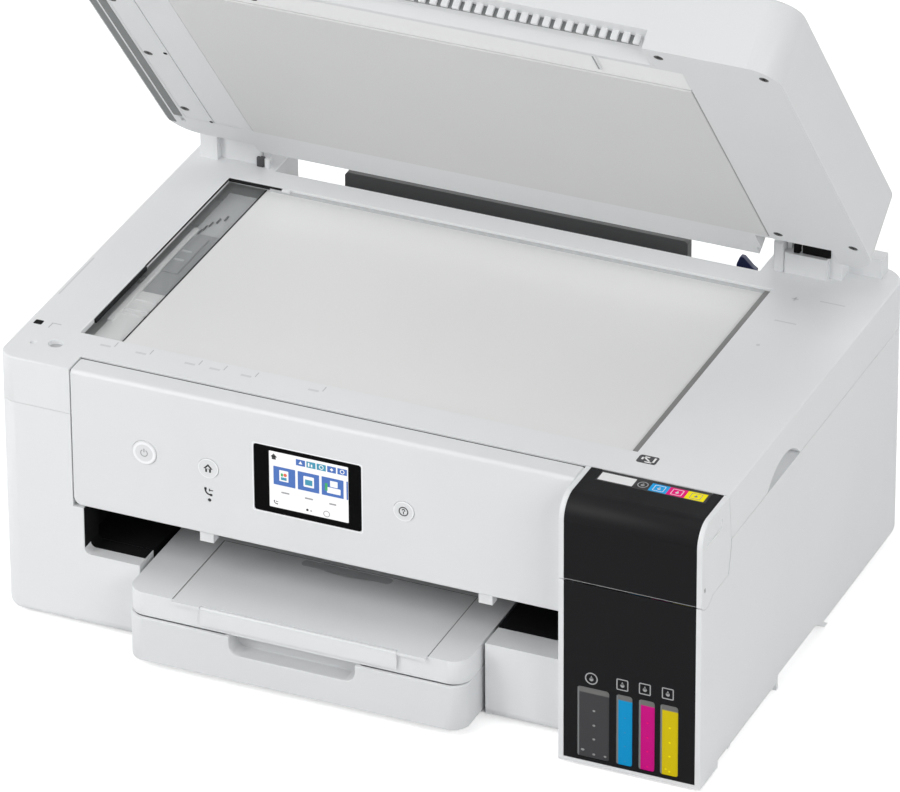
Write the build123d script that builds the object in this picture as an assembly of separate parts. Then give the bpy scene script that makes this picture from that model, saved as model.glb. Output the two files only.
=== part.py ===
from build123d import *
import math
import os

# Multifunction printer with an ink tank at its right front and a scanner lid that carries a document feeder.
# Millimetres. X to the right, Y to the back, Z up. The origin is the middle of the box around the whole
# printer, on the surface that it stands on. The rest pose is the lid open and everything else shut.

# Driving dimensions: the whole printer
body_width = 498.0
total_depth = 358.0
top_z = 192.0
wall = 3.0
seam_gap = 0.4
lift_gap = 0.15
corner_r = 12.0
rear_corner_r = 20.0
case_edge_r = 7.0
case_bottom_z = 2.0
scanner_seam_z = 159.0
mouth_top_z = 92.2
ledge_z = 57.0
ledge_depth = 21.0
mouth_inset = 7.0
mouth_r = 4.0
panel_swing_room = 1.4
tank_overhang = 27.0
cassette_overhang = 2.0
panel_depth = 18.5

# Driving dimensions: control panel
panel_inset = 52.0
panel_top_drop = 0.4
panel_pivot_drop = 5.6
panel_pivot_back = 6.0
panel_skin = 2.5
button_travel = 1.0
power_reach = 51.8
home_reach = 96.8
help_reach = 232.6
lamp_reach = 97.0
power_r = 8.5
button_r = 7.0
screen_reach = 128.5
screen_width = 74.8
display_reach = 139.0
display_width = 55.0

# Driving dimensions: ink tank
tank_width = 96.3
tank_trim = 3.5
tank_seam_z = 135.3
tank_edge_r = 15.0
tank_pivot_back = 9.0
tank_pivot_up = 8.0
tank_cover_bulge = 4.4
window_bottom_z = 7.5
window_top_z = 59.5
window_edges = ((12.8, 34.6), (39.3, 50.3), (54.5, 65.5), (69.0, 81.3))
shell_edges = ((10.3, 37.7), (38.3, 51.9), (52.5, 67.1), (67.7, 83.3))
cap_r = 6.2
neck_r = 4.0
cap_pivot_reach = 12.0
ink_level_z = 66.0

# Driving dimensions: paper path
tray_inset = 49.0
tray_width = 236.0
cassette_top_z = 37.6
cassette_length = 289.0
tray_top_z = 55.0
tray_length = 250.0
shaft_r = 3.0
shaft_play = 0.05

# Driving dimensions: scanner
glass_inset = 38.0
glass_width = 386.5
glass_setback = 27.5
glass_depth = 226.0
strip_width = 27.0
frame_plate = 3.5
frame_wall = 2.5
glass_thickness = 3.0
notch_left_inset = 62.0
notch_right_inset = 90.0
rear_notch_depth = 37.0
lift_axis_inset = 5.0
lift_axis_z = 162.0

# Driving dimensions: lid and document feeder, stated as the lid lies shut
lid_open_deg = 51.7
lid_axis_inset = 19.3
lid_axis_z = 229.8
lid_clearance = 0.8
lid_height = 49.5
lid_front_reach = 5.5
lid_rear_inset = 40.5
lid_bump_inset = 30.0
lid_corner_r = 20.0
lid_wall = 3.0
base_plate = 5.5
mat_inset = 65.0
mat_width = 364.0
mat_setback = 54.5
mat_depth = 216.0
grip_half_width = 160.0

# Worked out from the driving dimensions: the case
half_w = body_width / 2
left_x = -half_w
front_y = -total_depth / 2
rear_y = total_depth / 2
tank_front_y = front_y + cassette_overhang
case_front_y = tank_front_y + tank_overhang
seam_y = case_front_y + panel_depth
base_top_z = scanner_seam_z - lift_gap / 2
unit_bottom_z = scanner_seam_z + lift_gap / 2
floor_z = case_bottom_z + wall
inner_wall_y = seam_y + seam_gap
mouth_rear_y = case_front_y + ledge_depth
mouth_left_x = left_x + panel_inset + mouth_inset
service_x = (left_x + 119.0, half_w - 139.0)
grip_y = (-71.0, -9.0)

# Worked out: control panel
tank_left_x = half_w - tank_width
panel_left_x = left_x + panel_inset
panel_right_x = tank_left_x - 0.3
panel_top_z = top_z - panel_top_drop
panel_rear_y = seam_y - 1.5
panel_axis_y = case_front_y + panel_pivot_back
panel_axis_z = panel_top_z - panel_pivot_drop
power_at = (panel_left_x + power_reach, 142.5)
home_at = (panel_left_x + home_reach, 141.4)
help_at = (panel_left_x + help_reach, 141.3)
lamp_at = (panel_left_x + lamp_reach, 117.8)
screen_left_x = panel_left_x + screen_reach
screen_box = (screen_left_x, screen_left_x + screen_width, 118.8, 167.4)
display_left_x = panel_left_x + display_reach
display_box = (display_left_x, display_left_x + display_width, 123.0, 164.0)

# Worked out: ink tank
tank_axis_y = tank_front_y + tank_pivot_back
tank_axis_z = tank_seam_z + tank_pivot_up
tank_sweep_r = math.hypot(tank_pivot_back, tank_pivot_up)
tank_rear_y = seam_y - 1.2
tank_wall_y = seam_y + 4.0
tank_back_y = seam_y + 7.5
shell_rear_y = seam_y - 2.5
cap_axis_y = tank_front_y + 33.0
cap_axis_z = 122.5
neck_y = cap_axis_y - cap_pivot_reach
deck_z = 118.0
ink_windows = [(tank_left_x + x0, tank_left_x + x1) for x0, x1 in window_edges]
ink_shells = [(tank_left_x + x0, tank_left_x + x1) for x0, x1 in shell_edges]

# Worked out: paper path
tray_left_x = panel_left_x + tray_inset
tray_right_x = tray_left_x + tray_width
tray_mid_x = (tray_left_x + tray_right_x) / 2
bay_left_x = tray_left_x - 3.0
bay_right_x = tray_right_x + 3.0
tray_bottom_z = cassette_top_z + 0.5
extension_x = (tray_left_x + 33.0, tray_right_x - 25.6)
stopper_x = (tray_mid_x - 65.0, tray_mid_x + 72.0)
stop_axis_y = tank_front_y - 0.6
stop_axis_z = tray_top_z - 1.5
feed_at = (45.0, 96.0)
exit_at = (-50.0, 95.0)
pick_at = (tank_front_y + tray_length + 19.0, 52.0)
rod_at = (20.0, 128.0)
belt_y = 50.0
belt_z = 133.0
frame_x = (left_x + 59.0, tank_left_x - 9.7)
motor_x = frame_x[1] - 17.0
idler_x = frame_x[0] + 18.0
plate_t = 2.5
plate_front_y = -60.0
plate_rear_y = rear_y - 59.0
plate_top_z = 150.0

# Worked out: scanner
frame_front_y = seam_y - 0.3
bed_bottom_z = unit_bottom_z + 1.2
glass_left_x = left_x + glass_inset
glass_right_x = glass_left_x + glass_width
glass_front_y = seam_y + glass_setback
glass_rear_y = glass_front_y + glass_depth
rear_notch_left_x = left_x + notch_left_inset
rear_notch_right_x = half_w - notch_right_inset
rear_notch_y = rear_y - rear_notch_depth
lift_axis_y = rear_y - lift_axis_inset
bar_axis_y = rear_y - 7.5
bar_axis_z = 168.5
bar_x = (rear_notch_left_x + 39.0, rear_notch_right_x - 61.0)
scan_rod_at = (10.0, 170.0)
scan_rod_x = (left_x + 5.5, half_w - 47.5)

# Worked out: lid and document feeder
lid_axis_y = rear_y - lid_axis_inset
lid_under_z = top_z + lid_clearance
lid_top_z = lid_under_z + lid_height
lid_front_y = case_front_y - lid_front_reach
lid_rear_y = rear_y - lid_rear_inset
lid_bump_y = rear_y - lid_bump_inset
scoop_rear_y = lid_front_y + 27.1
mat_left_x = left_x + mat_inset
mat_right_x = mat_left_x + mat_width
mat_front_y = lid_front_y + mat_setback
mat_rear_y = mat_front_y + mat_depth
cover_axis_x = left_x + 12.5
feed_cover_right_x = left_x + 155.5
feed_tray_left_x = left_x + 157.3
tray_axis_x = left_x + 159.5
flap_axis_z = lid_top_z - 2.1
flap_t = 3.8
bay_y = (lid_front_y + 35.5, lid_rear_y - 26.5)
bay_x = (left_x + 8.5, half_w - 44.0)
bay_floor_z = 214.5
roller_at = (left_x + 99.0, 228.0)
screw_places = ((left_x + 19.0, lid_front_y + 91.5), (left_x + 20.0, lid_front_y + 170.9),
                (left_x + 20.0, lid_front_y + 255.5), (left_x + 132.4, lid_front_y + 44.5),
                (half_w - 80.3, lid_front_y + 10.5), (half_w - 11.0, lid_front_y + 12.5),
                (half_w - 61.0, lid_rear_y - 29.5), (half_w - 9.0, lid_rear_y - 31.5))


def block(x0, x1, y0, y1, z0, z1):
    """A box between two corners."""
    return Pos((x0 + x1) / 2, (y0 + y1) / 2, (z0 + z1) / 2) * Box(x1 - x0, y1 - y0, z1 - z0)


def prism_z(x0, x1, y0, y1, z0, z1, radius):
    """A box with rounded upright corners."""
    outline = Pos((x0 + x1) / 2, (y0 + y1) / 2, z0) * RectangleRounded(x1 - x0, y1 - y0, radius)
    return extrude(outline, z1 - z0)


def prism_y(x0, x1, y0, y1, z0, z1, radius):
    """A box whose corners, seen from the front, are rounded."""
    plane = Plane(origin=((x0 + x1) / 2, y0, (z0 + z1) / 2), x_dir=(1, 0, 0), z_dir=(0, 1, 0))
    return extrude(plane * RectangleRounded(x1 - x0, z1 - z0, radius), y1 - y0)


def profile_x(points, x0, x1):
    """A (y, z) outline drawn out along X."""
    line = Polyline(*[(x0, y, z) for y, z in points], close=True)
    return extrude(make_face(line), x1 - x0, dir=(1, 0, 0))


def profile_y(points, y0, y1):
    """An (x, z) outline drawn out along Y."""
    line = Polyline(*[(x, y0, z) for x, z in points], close=True)
    return extrude(make_face(line), y1 - y0, dir=(0, 1, 0))


def rod_x(x0, x1, y, z, radius):
    """A round bar along X."""
    return Pos((x0 + x1) / 2, y, z) * Rot(0, 90, 0) * Cylinder(radius, x1 - x0)


def rod_y(x, y0, y1, z, radius):
    """A round bar along Y."""
    return Pos(x, (y0 + y1) / 2, z) * Rot(90, 0, 0) * Cylinder(radius, y1 - y0)


def rod_z(x, y, z0, z1, radius):
    """A round bar along Z."""
    return Pos(x, y, (z0 + z1) / 2) * Cylinder(radius, z1 - z0)


def group(solids):
    """Separate solids that share one node."""
    return Compound(children=list(solids))


def edges_at(shape, axis, **near):
    """The straight edges along an axis whose middle lies at the given coordinates."""
    found = []
    for edge in shape.edges().filter_by(axis):
        middle = edge.center()
        if all(abs(getattr(middle, key) - value) < 0.05 for key, value in near.items()):
            found.append(edge)
    return found


def opened(shape):
    """Turn a lid piece from shut to the open rest pose, about the lid hinge."""
    at_axis = Pos(0, lid_axis_y, lid_axis_z)
    back = Pos(0, -lid_axis_y, -lid_axis_z)
    return at_axis * Rot(-lid_open_deg, 0, 0) * back * shape


# Case

def plan_outline(z0, z1, inset):
    """The plan of the printer without its tank, moved in by inset."""
    x0 = -half_w + inset
    x1 = half_w - inset
    y0 = case_front_y + inset
    y1 = rear_y - inset
    outline = block(x0, x1, y0, y1, z0, z1)
    outline = fillet(edges_at(outline, Axis.Z, X=x0, Y=y0), corner_r - inset)
    rears = edges_at(outline, Axis.Z, X=x0, Y=y1) + edges_at(outline, Axis.Z, X=x1, Y=y1)
    return fillet(rears, rear_corner_r - inset)


def tank_cover_room(gap):
    """The space that the tank cover takes, seen from the side, with a gap behind it."""
    y1 = tank_rear_y + gap
    y0 = tank_front_y - 2
    points = [(y0, tank_seam_z), (y0, top_z + 5), (y1, top_z + 5), (y1, top_z), (y1 + tank_cover_bulge, 156),
              (y1, 137), (y1, tank_seam_z)]
    return profile_x(points, tank_left_x - 0.2, half_w + 1)


def front_room(back_y, x0, x1):
    """The space before the scanner's front face, which slants back below its top edge."""
    low_y = back_y + tank_cover_bulge
    points = [(tank_front_y - 2, 120), (tank_front_y - 2, top_z + 5), (back_y, top_z + 5), (back_y, top_z),
              (low_y, 156), (low_y, 120)]
    return profile_x(points, x0, x1)


def foot_gap(side):
    """The hand gap along the bottom edge of one side, with its own inner skin."""
    x = side * half_w
    inner = side * (half_w - 12)
    x0 = min(x, inner)
    x1 = max(x, inner)
    skin = [(-48, case_bottom_z), (-48, 15), (24, 15), (42, case_bottom_z)]
    hollow = [(-45, case_bottom_z - 1), (-45, 12), (22, 12), (38, case_bottom_z - 1)]
    cut_x0 = x0 + wall if side > 0 else x0 - 1
    cut_x1 = x1 + 1 if side > 0 else x1 - wall
    return profile_x(skin, x0, x1), profile_x(hollow, cut_x0, cut_x1)


def make_lower_case():
    shell = plan_outline(case_bottom_z, base_top_z, 0.0)
    low = edges_at(shell, Axis.Y, X=left_x, Z=case_bottom_z)
    low += edges_at(shell, Axis.Y, X=half_w, Z=case_bottom_z)
    shell = fillet(low, case_edge_r)
    shell += block(tank_left_x, half_w, tank_front_y, case_front_y + wall, case_bottom_z, tank_seam_z)
    shell -= plan_outline(floor_z, base_top_z + 1, wall)
    shell -= block(tank_left_x + tank_trim, half_w - tank_trim, tank_front_y - 1, tank_wall_y, floor_z,
                   base_top_z + 1)
    # opening for the panel and the paper mouth, and the cheek at the left of the mouth
    opening_x = panel_left_x - seam_gap
    shell -= block(opening_x, tank_left_x, case_front_y - 1, inner_wall_y, ledge_z, base_top_z + 1)
    shell += block(opening_x - 0.2, mouth_left_x, case_front_y, mouth_rear_y, ledge_z - 0.2,
                   mouth_top_z - panel_swing_room)
    shell += block(panel_left_x - wall, tank_left_x + tank_trim, inner_wall_y, inner_wall_y + wall,
                   mouth_top_z, base_top_z)
    shell += block(panel_left_x - wall, panel_left_x - seam_gap, case_front_y + 1, inner_wall_y + wall,
                   floor_z - 1, base_top_z)
    # ledges beside the cassette bay and the walls under them
    shell += block(panel_left_x - wall, bay_left_x, case_front_y + 1, mouth_rear_y, ledge_z - wall, ledge_z)
    shell += block(bay_right_x, tank_left_x + 1, case_front_y + 1, mouth_rear_y, ledge_z - wall, ledge_z)
    shell += block(bay_left_x - wall, bay_left_x, case_front_y + 1, mouth_rear_y, floor_z - 1, ledge_z)
    shell += block(bay_right_x, bay_right_x + wall, case_front_y + 1, mouth_rear_y, floor_z - 1, ledge_z)
    shell -= block(bay_left_x, bay_right_x, case_front_y - 1, case_front_y + wall + 1, floor_z, ledge_z + 1)
    # tank housing: inner cheek, rear wall and the clearance for the cover
    shell += block(tank_left_x, tank_left_x + tank_trim, case_front_y, tank_back_y, floor_z - 1, tank_seam_z)
    shell += block(tank_left_x, half_w - 1, tank_wall_y, tank_back_y, floor_z - 1, base_top_z)
    shell += block(tank_left_x, half_w, tank_rear_y + 0.9, tank_back_y, tank_seam_z, base_top_z)
    shell -= tank_cover_room(0.9)
    for side_x in (tank_left_x - 0.2, half_w - tank_trim):
        shell -= rod_x(side_x, side_x + tank_trim + 0.3, tank_axis_y, tank_axis_z, tank_sweep_r + seam_gap)
    for ear in tank_ears():
        shell += ear
    # rounded lower left corner of the mouth
    arc_x = mouth_left_x + mouth_r
    arc_z = ledge_z + mouth_r
    corner = block(mouth_left_x - 0.2, arc_x, case_front_y, mouth_rear_y, ledge_z - 0.2, arc_z)
    shell += corner - rod_y(arc_x, case_front_y - 1, mouth_rear_y + 1, arc_z, mouth_r)
    # hand gaps at the bottom of both sides, and the shelves under the grips of the scanner
    for side in (-1, 1):
        skin, hollow = foot_gap(side)
        shell += skin
        shell -= hollow
        shelf_x = sorted((side * (half_w - 1.5), side * (half_w - 11)))
        shell += block(shelf_x[0], shelf_x[1], grip_y[0] - 3, grip_y[1] + 3, base_top_z - 2.5, base_top_z)
    # rear wall: service opening, sockets and mains inlet
    shell -= block(service_x[0], service_x[1], rear_y - wall - 1, rear_y + 1, 40, 140)
    for x0, x1, z0, z1 in rear_holes():
        shell -= block(x0, x1, rear_y - wall - 8, rear_y + 1, z0, z1)
    return shell


def tank_ears():
    """Arms on the tank housing that carry the pivot pins of the tank cover."""
    ears = []
    for x0, x1, pin0, pin1, foot0, foot1 in (
            (tank_left_x + 4.5, tank_left_x + 7.5, tank_left_x + 1.7, tank_left_x + 5.3, tank_left_x + 2,
             tank_left_x + 7.5),
            (half_w - 7.5, half_w - 4.5, half_w - 5, half_w - 1.7, half_w - 7.5, half_w - 2)):
        arm = block(x0, x1, tank_axis_y, tank_axis_y + 15, tank_axis_z - 2, tank_axis_z + 2)
        arm += rod_x(x0, x1, tank_axis_y, tank_axis_z, 3)
        arm += rod_x(pin0, pin1, tank_axis_y, tank_axis_z, 2)
        arm += block(x0, x1, tank_axis_y + 11, tank_axis_y + 15, 120, tank_axis_z + 2)
        arm += block(foot0, foot1, tank_axis_y + 11, tank_axis_y + 15, 120, 130)
        ears.append(arm)
    return ears


def rear_holes():
    """Openings in the rear wall for the mains inlet and the two data sockets."""
    return ((left_x + 13, left_x + 41, 22, 46), (left_x + 49, left_x + 65, 24, 38),
            (left_x + 73, left_x + 86, 24, 36))


def make_case_feet():
    pads = []
    for x in (left_x + 34, half_w - 34):
        for y in (case_front_y + 30, rear_y - 34):
            pads.append(rod_z(x, y, 0, case_bottom_z, 9))
    return group(pads)


def make_chassis():
    frame = None
    for x0 in (frame_x[0], frame_x[1] - plate_t):
        plate = block(x0, x0 + plate_t, plate_front_y, plate_rear_y, floor_z, plate_top_z)
        plate += block(x0, x0 + plate_t, plate_front_y, pick_at[0] + 18, floor_z, 110)
        frame = plate if frame is None else frame + plate
    # rear cross plate with a folded top flange
    frame += block(frame_x[0] + 1, frame_x[1] - 1, 66, 68, 110, plate_top_z)
    frame += block(frame_x[0] + 1, frame_x[1] - 1, 66, 80, plate_top_z - 2, plate_top_z)
    # motor shelf and idler shelf
    frame += block(motor_x - 16, frame_x[1] - 1, 36, 67, 127.2, 128.7)
    frame += block(frame_x[0] + 1, idler_x + 12, 36, 67, 127.2, 128.7)
    frame += rod_z(idler_x, belt_y, 128, 137.5, 2)
    for y, z in (feed_at, exit_at, pick_at):
        frame -= rod_x(frame_x[0] - 1, frame_x[0] + plate_t + 1, y, z, shaft_r + shaft_play)
        frame -= rod_x(frame_x[1] - plate_t - 1, frame_x[1] + 1, y, z, shaft_r + shaft_play)
    frame -= rod_x(frame_x[0] - 1, frame_x[0] + plate_t + 1, rod_at[0], rod_at[1], 4.02)
    frame -= rod_x(frame_x[1] - plate_t - 1, frame_x[1] + 1, rod_at[0], rod_at[1], 4.02)
    frame -= rod_z(motor_x, belt_y, 127, 129, 2.4)
    # side windows that lighten the plates
    for x0 in (frame_x[0] - 1, frame_x[1] - plate_t - 1):
        frame -= prism_z(x0, x0 + plate_t + 2, -40, 20, 20, 70, 1)
    return frame


def make_platen():
    x0 = frame_x[0] + plate_t
    x1 = frame_x[1] - plate_t
    plate = block(x0, x1, -44, 34, 85, 88)
    plate += block(x0, x1, -62, -43, 82, 85)
    plate += block(x0, x1, -44, -41, 82, 88)
    plate += block(x0, x1, -64, -61, 57, 85)
    x = x0 + 12
    while x < x1 - 8:
        plate += block(x, x + 1.6, -40, 30, 87, 90.5)
        x += 22
    x = x0 + 6
    while x < x1 - 4:
        plate += block(x, x + 1.5, -66, -63, 58, 84)
        x += 14
    return plate


def exit_sleeves():
    """Where the sleeves of the exit roller lie along it."""
    pitch = (frame_x[1] - frame_x[0] - 53) / 7
    first = frame_x[0] + 20
    return [(first + pitch * i, first + pitch * i + 12) for i in range(8)]


def make_roller(at, drum_r, spans, gear_r):
    """A shaft with sleeves and a gear outside the left plate."""
    y, z = at
    gear_x = frame_x[0] - 7
    roller = rod_x(gear_x, frame_x[1] + 3, y, z, shaft_r)
    for x0, x1 in spans:
        roller += rod_x(x0, x1, y, z, drum_r)
    roller += rod_x(gear_x, gear_x + 4, y, z, gear_r)
    return roller


def make_print_carriage():
    x0 = frame_x[1] - 93.0
    x1 = frame_x[1] - 8.0
    body = block(x0, x1, -36, 34, 97, 150)
    body -= block(x0 + 3, x1 - 3, -33, 8, 112, 151)
    body += block(x0 + 10, x1 - 10, -24, 8, 93, 97.5)
    for x in (x0 + 22.0, x0 + 42.0, x0 + 62.0):
        body += block(x, x + 1.5, -33, 8, 112, 146)
    body += block(x0 + 20, x0 + 50, 33, 48, 127, 140)
    body -= rod_x(x0 - 1, x1 + 1, rod_at[0], rod_at[1], 4.0 + shaft_play)
    body -= block(x0 + 19, x0 + 51, belt_y - 7.6, belt_y - 5.6, belt_z - 3.4, belt_z + 3.4)
    return body


def make_carriage_belt():
    loop = Pos((idler_x + motor_x) / 2, belt_y, belt_z - 3) * SlotOverall(motor_x - idler_x + 14.6, 14.6)
    hole = Pos((idler_x + motor_x) / 2, belt_y, belt_z - 3) * SlotOverall(motor_x - idler_x + 12.2, 12.2)
    return extrude(loop - hole, 6)


def make_carriage_motor():
    motor = rod_z(motor_x, belt_y, 106, 127.2, 13)
    motor += rod_z(motor_x, belt_y, 127, 137.5, 2)
    motor += rod_z(motor_x, belt_y, 129.2, 136.8, 6)
    return motor


def make_head_cap():
    x0 = frame_x[1] - 83.0
    dock = block(x0, x0 + 65, -40, 20, 90.6, 91.4)
    dock += block(x0 + 18, x0 + 50, -22, 6, 91, 92.6)
    return dock


def make_ink_tubes():
    tubes = []
    for i in range(4):
        x = tank_left_x + 15.3 + 12 * i
        y = -80.0 - 5 * i
        tube = rod_y(x, tank_back_y, y, 20, 1.6)
        tube += Pos(x, y, 20) * Sphere(1.6)
        tube += rod_z(x, y, 20, 140, 1.6)
        tube += Pos(x, y, 140) * Sphere(1.6)
        tube += rod_x(frame_x[1] - 163, x, y, 140, 1.6)
        tubes.append(tube)
    return group(tubes)


def make_maintenance_box():
    x0 = half_w - 99
    x1 = half_w - 13
    y0 = rear_y - 139
    box = prism_z(x0, x1, y0, y0 + 110, floor_z, 45, 3)
    box -= block(x0 + 4, x1 - 4, y0 + 4, y0 + 106, 40, 46)
    for y in (y0 + 22, y0 + 44, y0 + 66, y0 + 88):
        box += block(x0 + 3, x1 - 3, y, y + 2, 39, 44)
    return box


def make_main_board():
    x0 = left_x + wall + 1.5
    x1 = x0 + 1.5
    board = block(x0, x1, -40, 120, 30, 130)
    for y, z, w, h in ((-20, 60, 26, 26), (30, 90, 18, 30), (70, 50, 22, 14), (90, 105, 16, 12)):
        board += block(x1 - 0.2, x1 + 4, y, y + w, z, z + h)
    board += block(left_x + wall, x0 + 0.1, -30, -24, 40, 46)
    board += block(left_x + wall, x0 + 0.1, 104, 110, 112, 118)
    return board


def make_rear_sockets():
    parts = []
    for (x0, x1, z0, z1), depth in zip(rear_holes(), (18, 14, 14)):
        socket = block(x0 + 0.2, x1 - 0.2, rear_y - depth, rear_y - 0.4, z0 + 0.2, z1 - 0.2)
        socket -= block(x0 + 2, x1 - 2, rear_y - depth + 3, rear_y + 1, z0 + 2, z1 - 2)
        parts.append(socket)
    middle_x = (rear_holes()[0][0] + rear_holes()[0][1]) / 2
    for x in (middle_x - 3, middle_x + 3):
        parts[0] += block(x - 0.8, x + 0.8, rear_y - 16, rear_y - 5, 31, 37)
    return group(parts)


def make_rear_feed_throat():
    x0 = rear_notch_left_x + 1
    x1 = rear_notch_right_x - 1
    y0 = rear_notch_y + 1.6
    y1 = rear_y - wall - 0.2
    points = [(y1, 162), (y1 - 4.8, 162), (y0 + 7.4, 126), (y0 + 3.4, 126), (y0 + 3.4, 158.4), (y0, 158.4),
              (y0, 122), (y0 + 9.9, 122), (y1, 158)]
    throat = profile_x(points, x0, x1)
    closed_end = [(y1, 162), (y1 - 4.8, 162), (y0 + 16.4, 158.4), (y0, 158.4), (y0, 122), (y0 + 9.9, 122),
                  (y1, 158)]
    throat += profile_x(closed_end, x0, x0 + 3)
    throat += profile_x(closed_end, x1 - 3, x1)
    # ears and pins for the folding cover, and the rail of the edge guide
    for ear0, ear1, pin0, pin1 in ((bar_x[0] - 3.4, bar_x[0] - 0.4, bar_x[0] - 1, bar_x[0] + 5),
                                   (bar_x[1] + 0.4, bar_x[1] + 3.4, bar_x[1] - 5, bar_x[1] + 1)):
        throat += block(ear0, ear1, bar_axis_y - 0.5, bar_axis_y + 4, 157, 164)
        throat += block(ear0, ear1, bar_axis_y - 2.5, bar_axis_y + 2.5, 161, bar_axis_z)
        throat += rod_x(ear0, ear1, bar_axis_y, bar_axis_z, 2.5)
        throat += rod_x(pin0, pin1, bar_axis_y, bar_axis_z, 1.5)
    throat += block(bar_x[1] + 5, x1 - 3, bar_axis_y + 1.5, bar_axis_y + 2.7, 161, 164)
    return throat


def make_rear_feed_cover():
    bar = rod_x(bar_x[0], bar_x[1], bar_axis_y, bar_axis_z, 3.5)
    bar += prism_y(bar_x[0], bar_x[1], bar_axis_y - 3.5, bar_axis_y + 3.5, bar_axis_z - 1, 187, 3)
    bar -= block(bar_x[0] - 1, bar_x[1] + 1, bar_axis_y - 4, bar_axis_y + 4, bar_axis_z - 6, bar_axis_z - 3.5)
    bar += rod_x(bar_x[0], bar_x[1], bar_axis_y, bar_axis_z, 3.5)
    for x0, x1 in ((bar_x[0] - 1, bar_x[0] + 6), (bar_x[1] - 6, bar_x[1] + 1)):
        bar -= rod_x(x0, x1, bar_axis_y, bar_axis_z, 1.5 + shaft_play)
    return bar


def make_rear_edge_guide():
    x = rear_notch_right_x - 28.0
    y = bar_axis_y - 0.3
    outline = [(x, 162.3), (x + 14, 162.3), (x + 14, 174), (x + 11, 176), (x + 5, 182), (x + 2.5, 182),
               (x, 176)]
    guide = profile_y(outline, y, y + 4.4)
    return guide - block(x - 1, x + 15, y + 1.6, y + 3.2, 162, 164.2)


def make_rear_cover():
    cover = prism_y(service_x[0] + 0.5, service_x[1] - 0.5, rear_y - 3.2, rear_y - 0.4, 40.5, 139.5, 3)
    rib = [(rear_y - 3, 50), (rear_y - 3, 130), (rear_y - 21, 122), (rear_y - 29, 90), (rear_y - 21, 58)]
    pitch = (service_x[1] - service_x[0] - 40) / 5
    for i in range(6):
        x = service_x[0] + 20 + pitch * i
        cover += profile_x(rib, x, x + 2.5)
    middle = (service_x[0] + service_x[1]) / 2
    return cover - prism_y(middle - 30, middle + 30, rear_y - 2, rear_y, 118, 132, 5)


# Control panel

def make_panel_brackets():
    arms = []
    y = panel_axis_y
    web = [(inner_wall_y, 100), (inner_wall_y, 155), (y + 7, 155), (y + 2.5, 160), (y + 2.5, panel_axis_z),
           (y - 2.5, panel_axis_z), (y - 2.5, 112), (y + 8, 100)]
    left = panel_left_x
    right = panel_right_x
    for x0, x1, pin0, pin1 in ((left + 7, left + 11, left + 3.4, left + 8),
                               (right - 10.4, right - 6.4, right - 7.4, right - 3.4)):
        arm = profile_x(web, x0, x1)
        arm += rod_x(x0, x1, panel_axis_y, panel_axis_z, 2.5)
        arm += rod_x(pin0, pin1, panel_axis_y, panel_axis_z, 1.5)
        arms.append(arm)
    return group(arms)


def make_panel_shell():
    x0 = panel_left_x
    x1 = panel_right_x
    skin = panel_skin
    outer = block(x0, x1, case_front_y, panel_rear_y, mouth_top_z, panel_top_z)
    low = edges_at(outer, Axis.Y, X=x0, Z=mouth_top_z) + edges_at(outer, Axis.Y, X=x1, Z=mouth_top_z)
    outer = fillet(low, 6.0)
    outer = fillet(edges_at(outer, Axis.Z, X=x1, Y=panel_rear_y), 2.2)
    outer = fillet(edges_at(outer, Axis.X, Y=case_front_y, Z=panel_top_z), 3.0)
    outer = fillet(edges_at(outer, Axis.X, Y=panel_rear_y, Z=panel_top_z), 1.5)
    shell = outer - prism_y(x0 + skin, x1 - skin, case_front_y + skin, panel_rear_y + 1,
                            mouth_top_z + skin, panel_top_z - skin, 3)
    for x, z, r in ((*power_at, power_r), (*home_at, button_r), (*help_at, button_r)):
        shell -= rod_y(x, case_front_y - 1, case_front_y + skin + 1, z, r + 0.25)
    shell -= rod_y(lamp_at[0], case_front_y - 1, case_front_y + skin + 1, lamp_at[1], 1.3)
    sx0, sx1, sz0, sz1 = screen_box
    shell -= prism_y(sx0, sx1, case_front_y - 1, case_front_y + skin + 1, sz0, sz1, 2)
    # ribs with the pivot bores, and the two feet under the panel
    for rx0, rx1 in ((x0 + 3.1, x0 + 6.7), (x1 - 6.1, x1 - 2.5)):
        rib = block(rx0, rx1, case_front_y + 1, panel_axis_y + 3.5, panel_axis_z - 4, panel_top_z - 1)
        shell += rib - rod_x(rx0 - 1, rx1 + 1, panel_axis_y, panel_axis_z, 1.5 + shaft_play)
    for tab_x in (tray_left_x + 40, tray_right_x - 2):
        shell += block(tab_x, tab_x + 9.5, case_front_y + 1.5, case_front_y + 9, 85.2, mouth_top_z + 1)
    return shell


def make_button(x, z, r):
    cap = rod_y(x, case_front_y - 0.7, case_front_y + 3.4, z, r)
    cap += rod_y(x, case_front_y + panel_skin + 0.1, case_front_y + 4.2, z, r + 1.2)
    return fillet(cap.faces().sort_by(Axis.Y)[0].edges(), 0.4)


def make_status_lamp():
    return rod_y(lamp_at[0], case_front_y - 0.1, case_front_y + 4, lamp_at[1], 1.2)


def make_screen_surround():
    x0, x1, z0, z1 = screen_box
    frame = prism_y(x0 + 0.15, x1 - 0.15, case_front_y - 0.2, case_front_y + 3, z0 + 0.15, z1 - 0.15, 1.9)
    frame += prism_y(x0 - 2, x1 + 2, case_front_y + panel_skin + 0.05, case_front_y + 5, z0 - 2, z1 + 2, 2)
    dx0, dx1, dz0, dz1 = display_box
    return frame - block(dx0 - 0.1, dx1 + 0.1, case_front_y - 1, case_front_y + 2.6, dz0 - 0.1, dz1 + 0.1)


def make_display():
    x0, x1, z0, z1 = display_box
    return block(x0, x1, case_front_y + 0.2, case_front_y + 2.6, z0, z1)


# Ink tank

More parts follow.
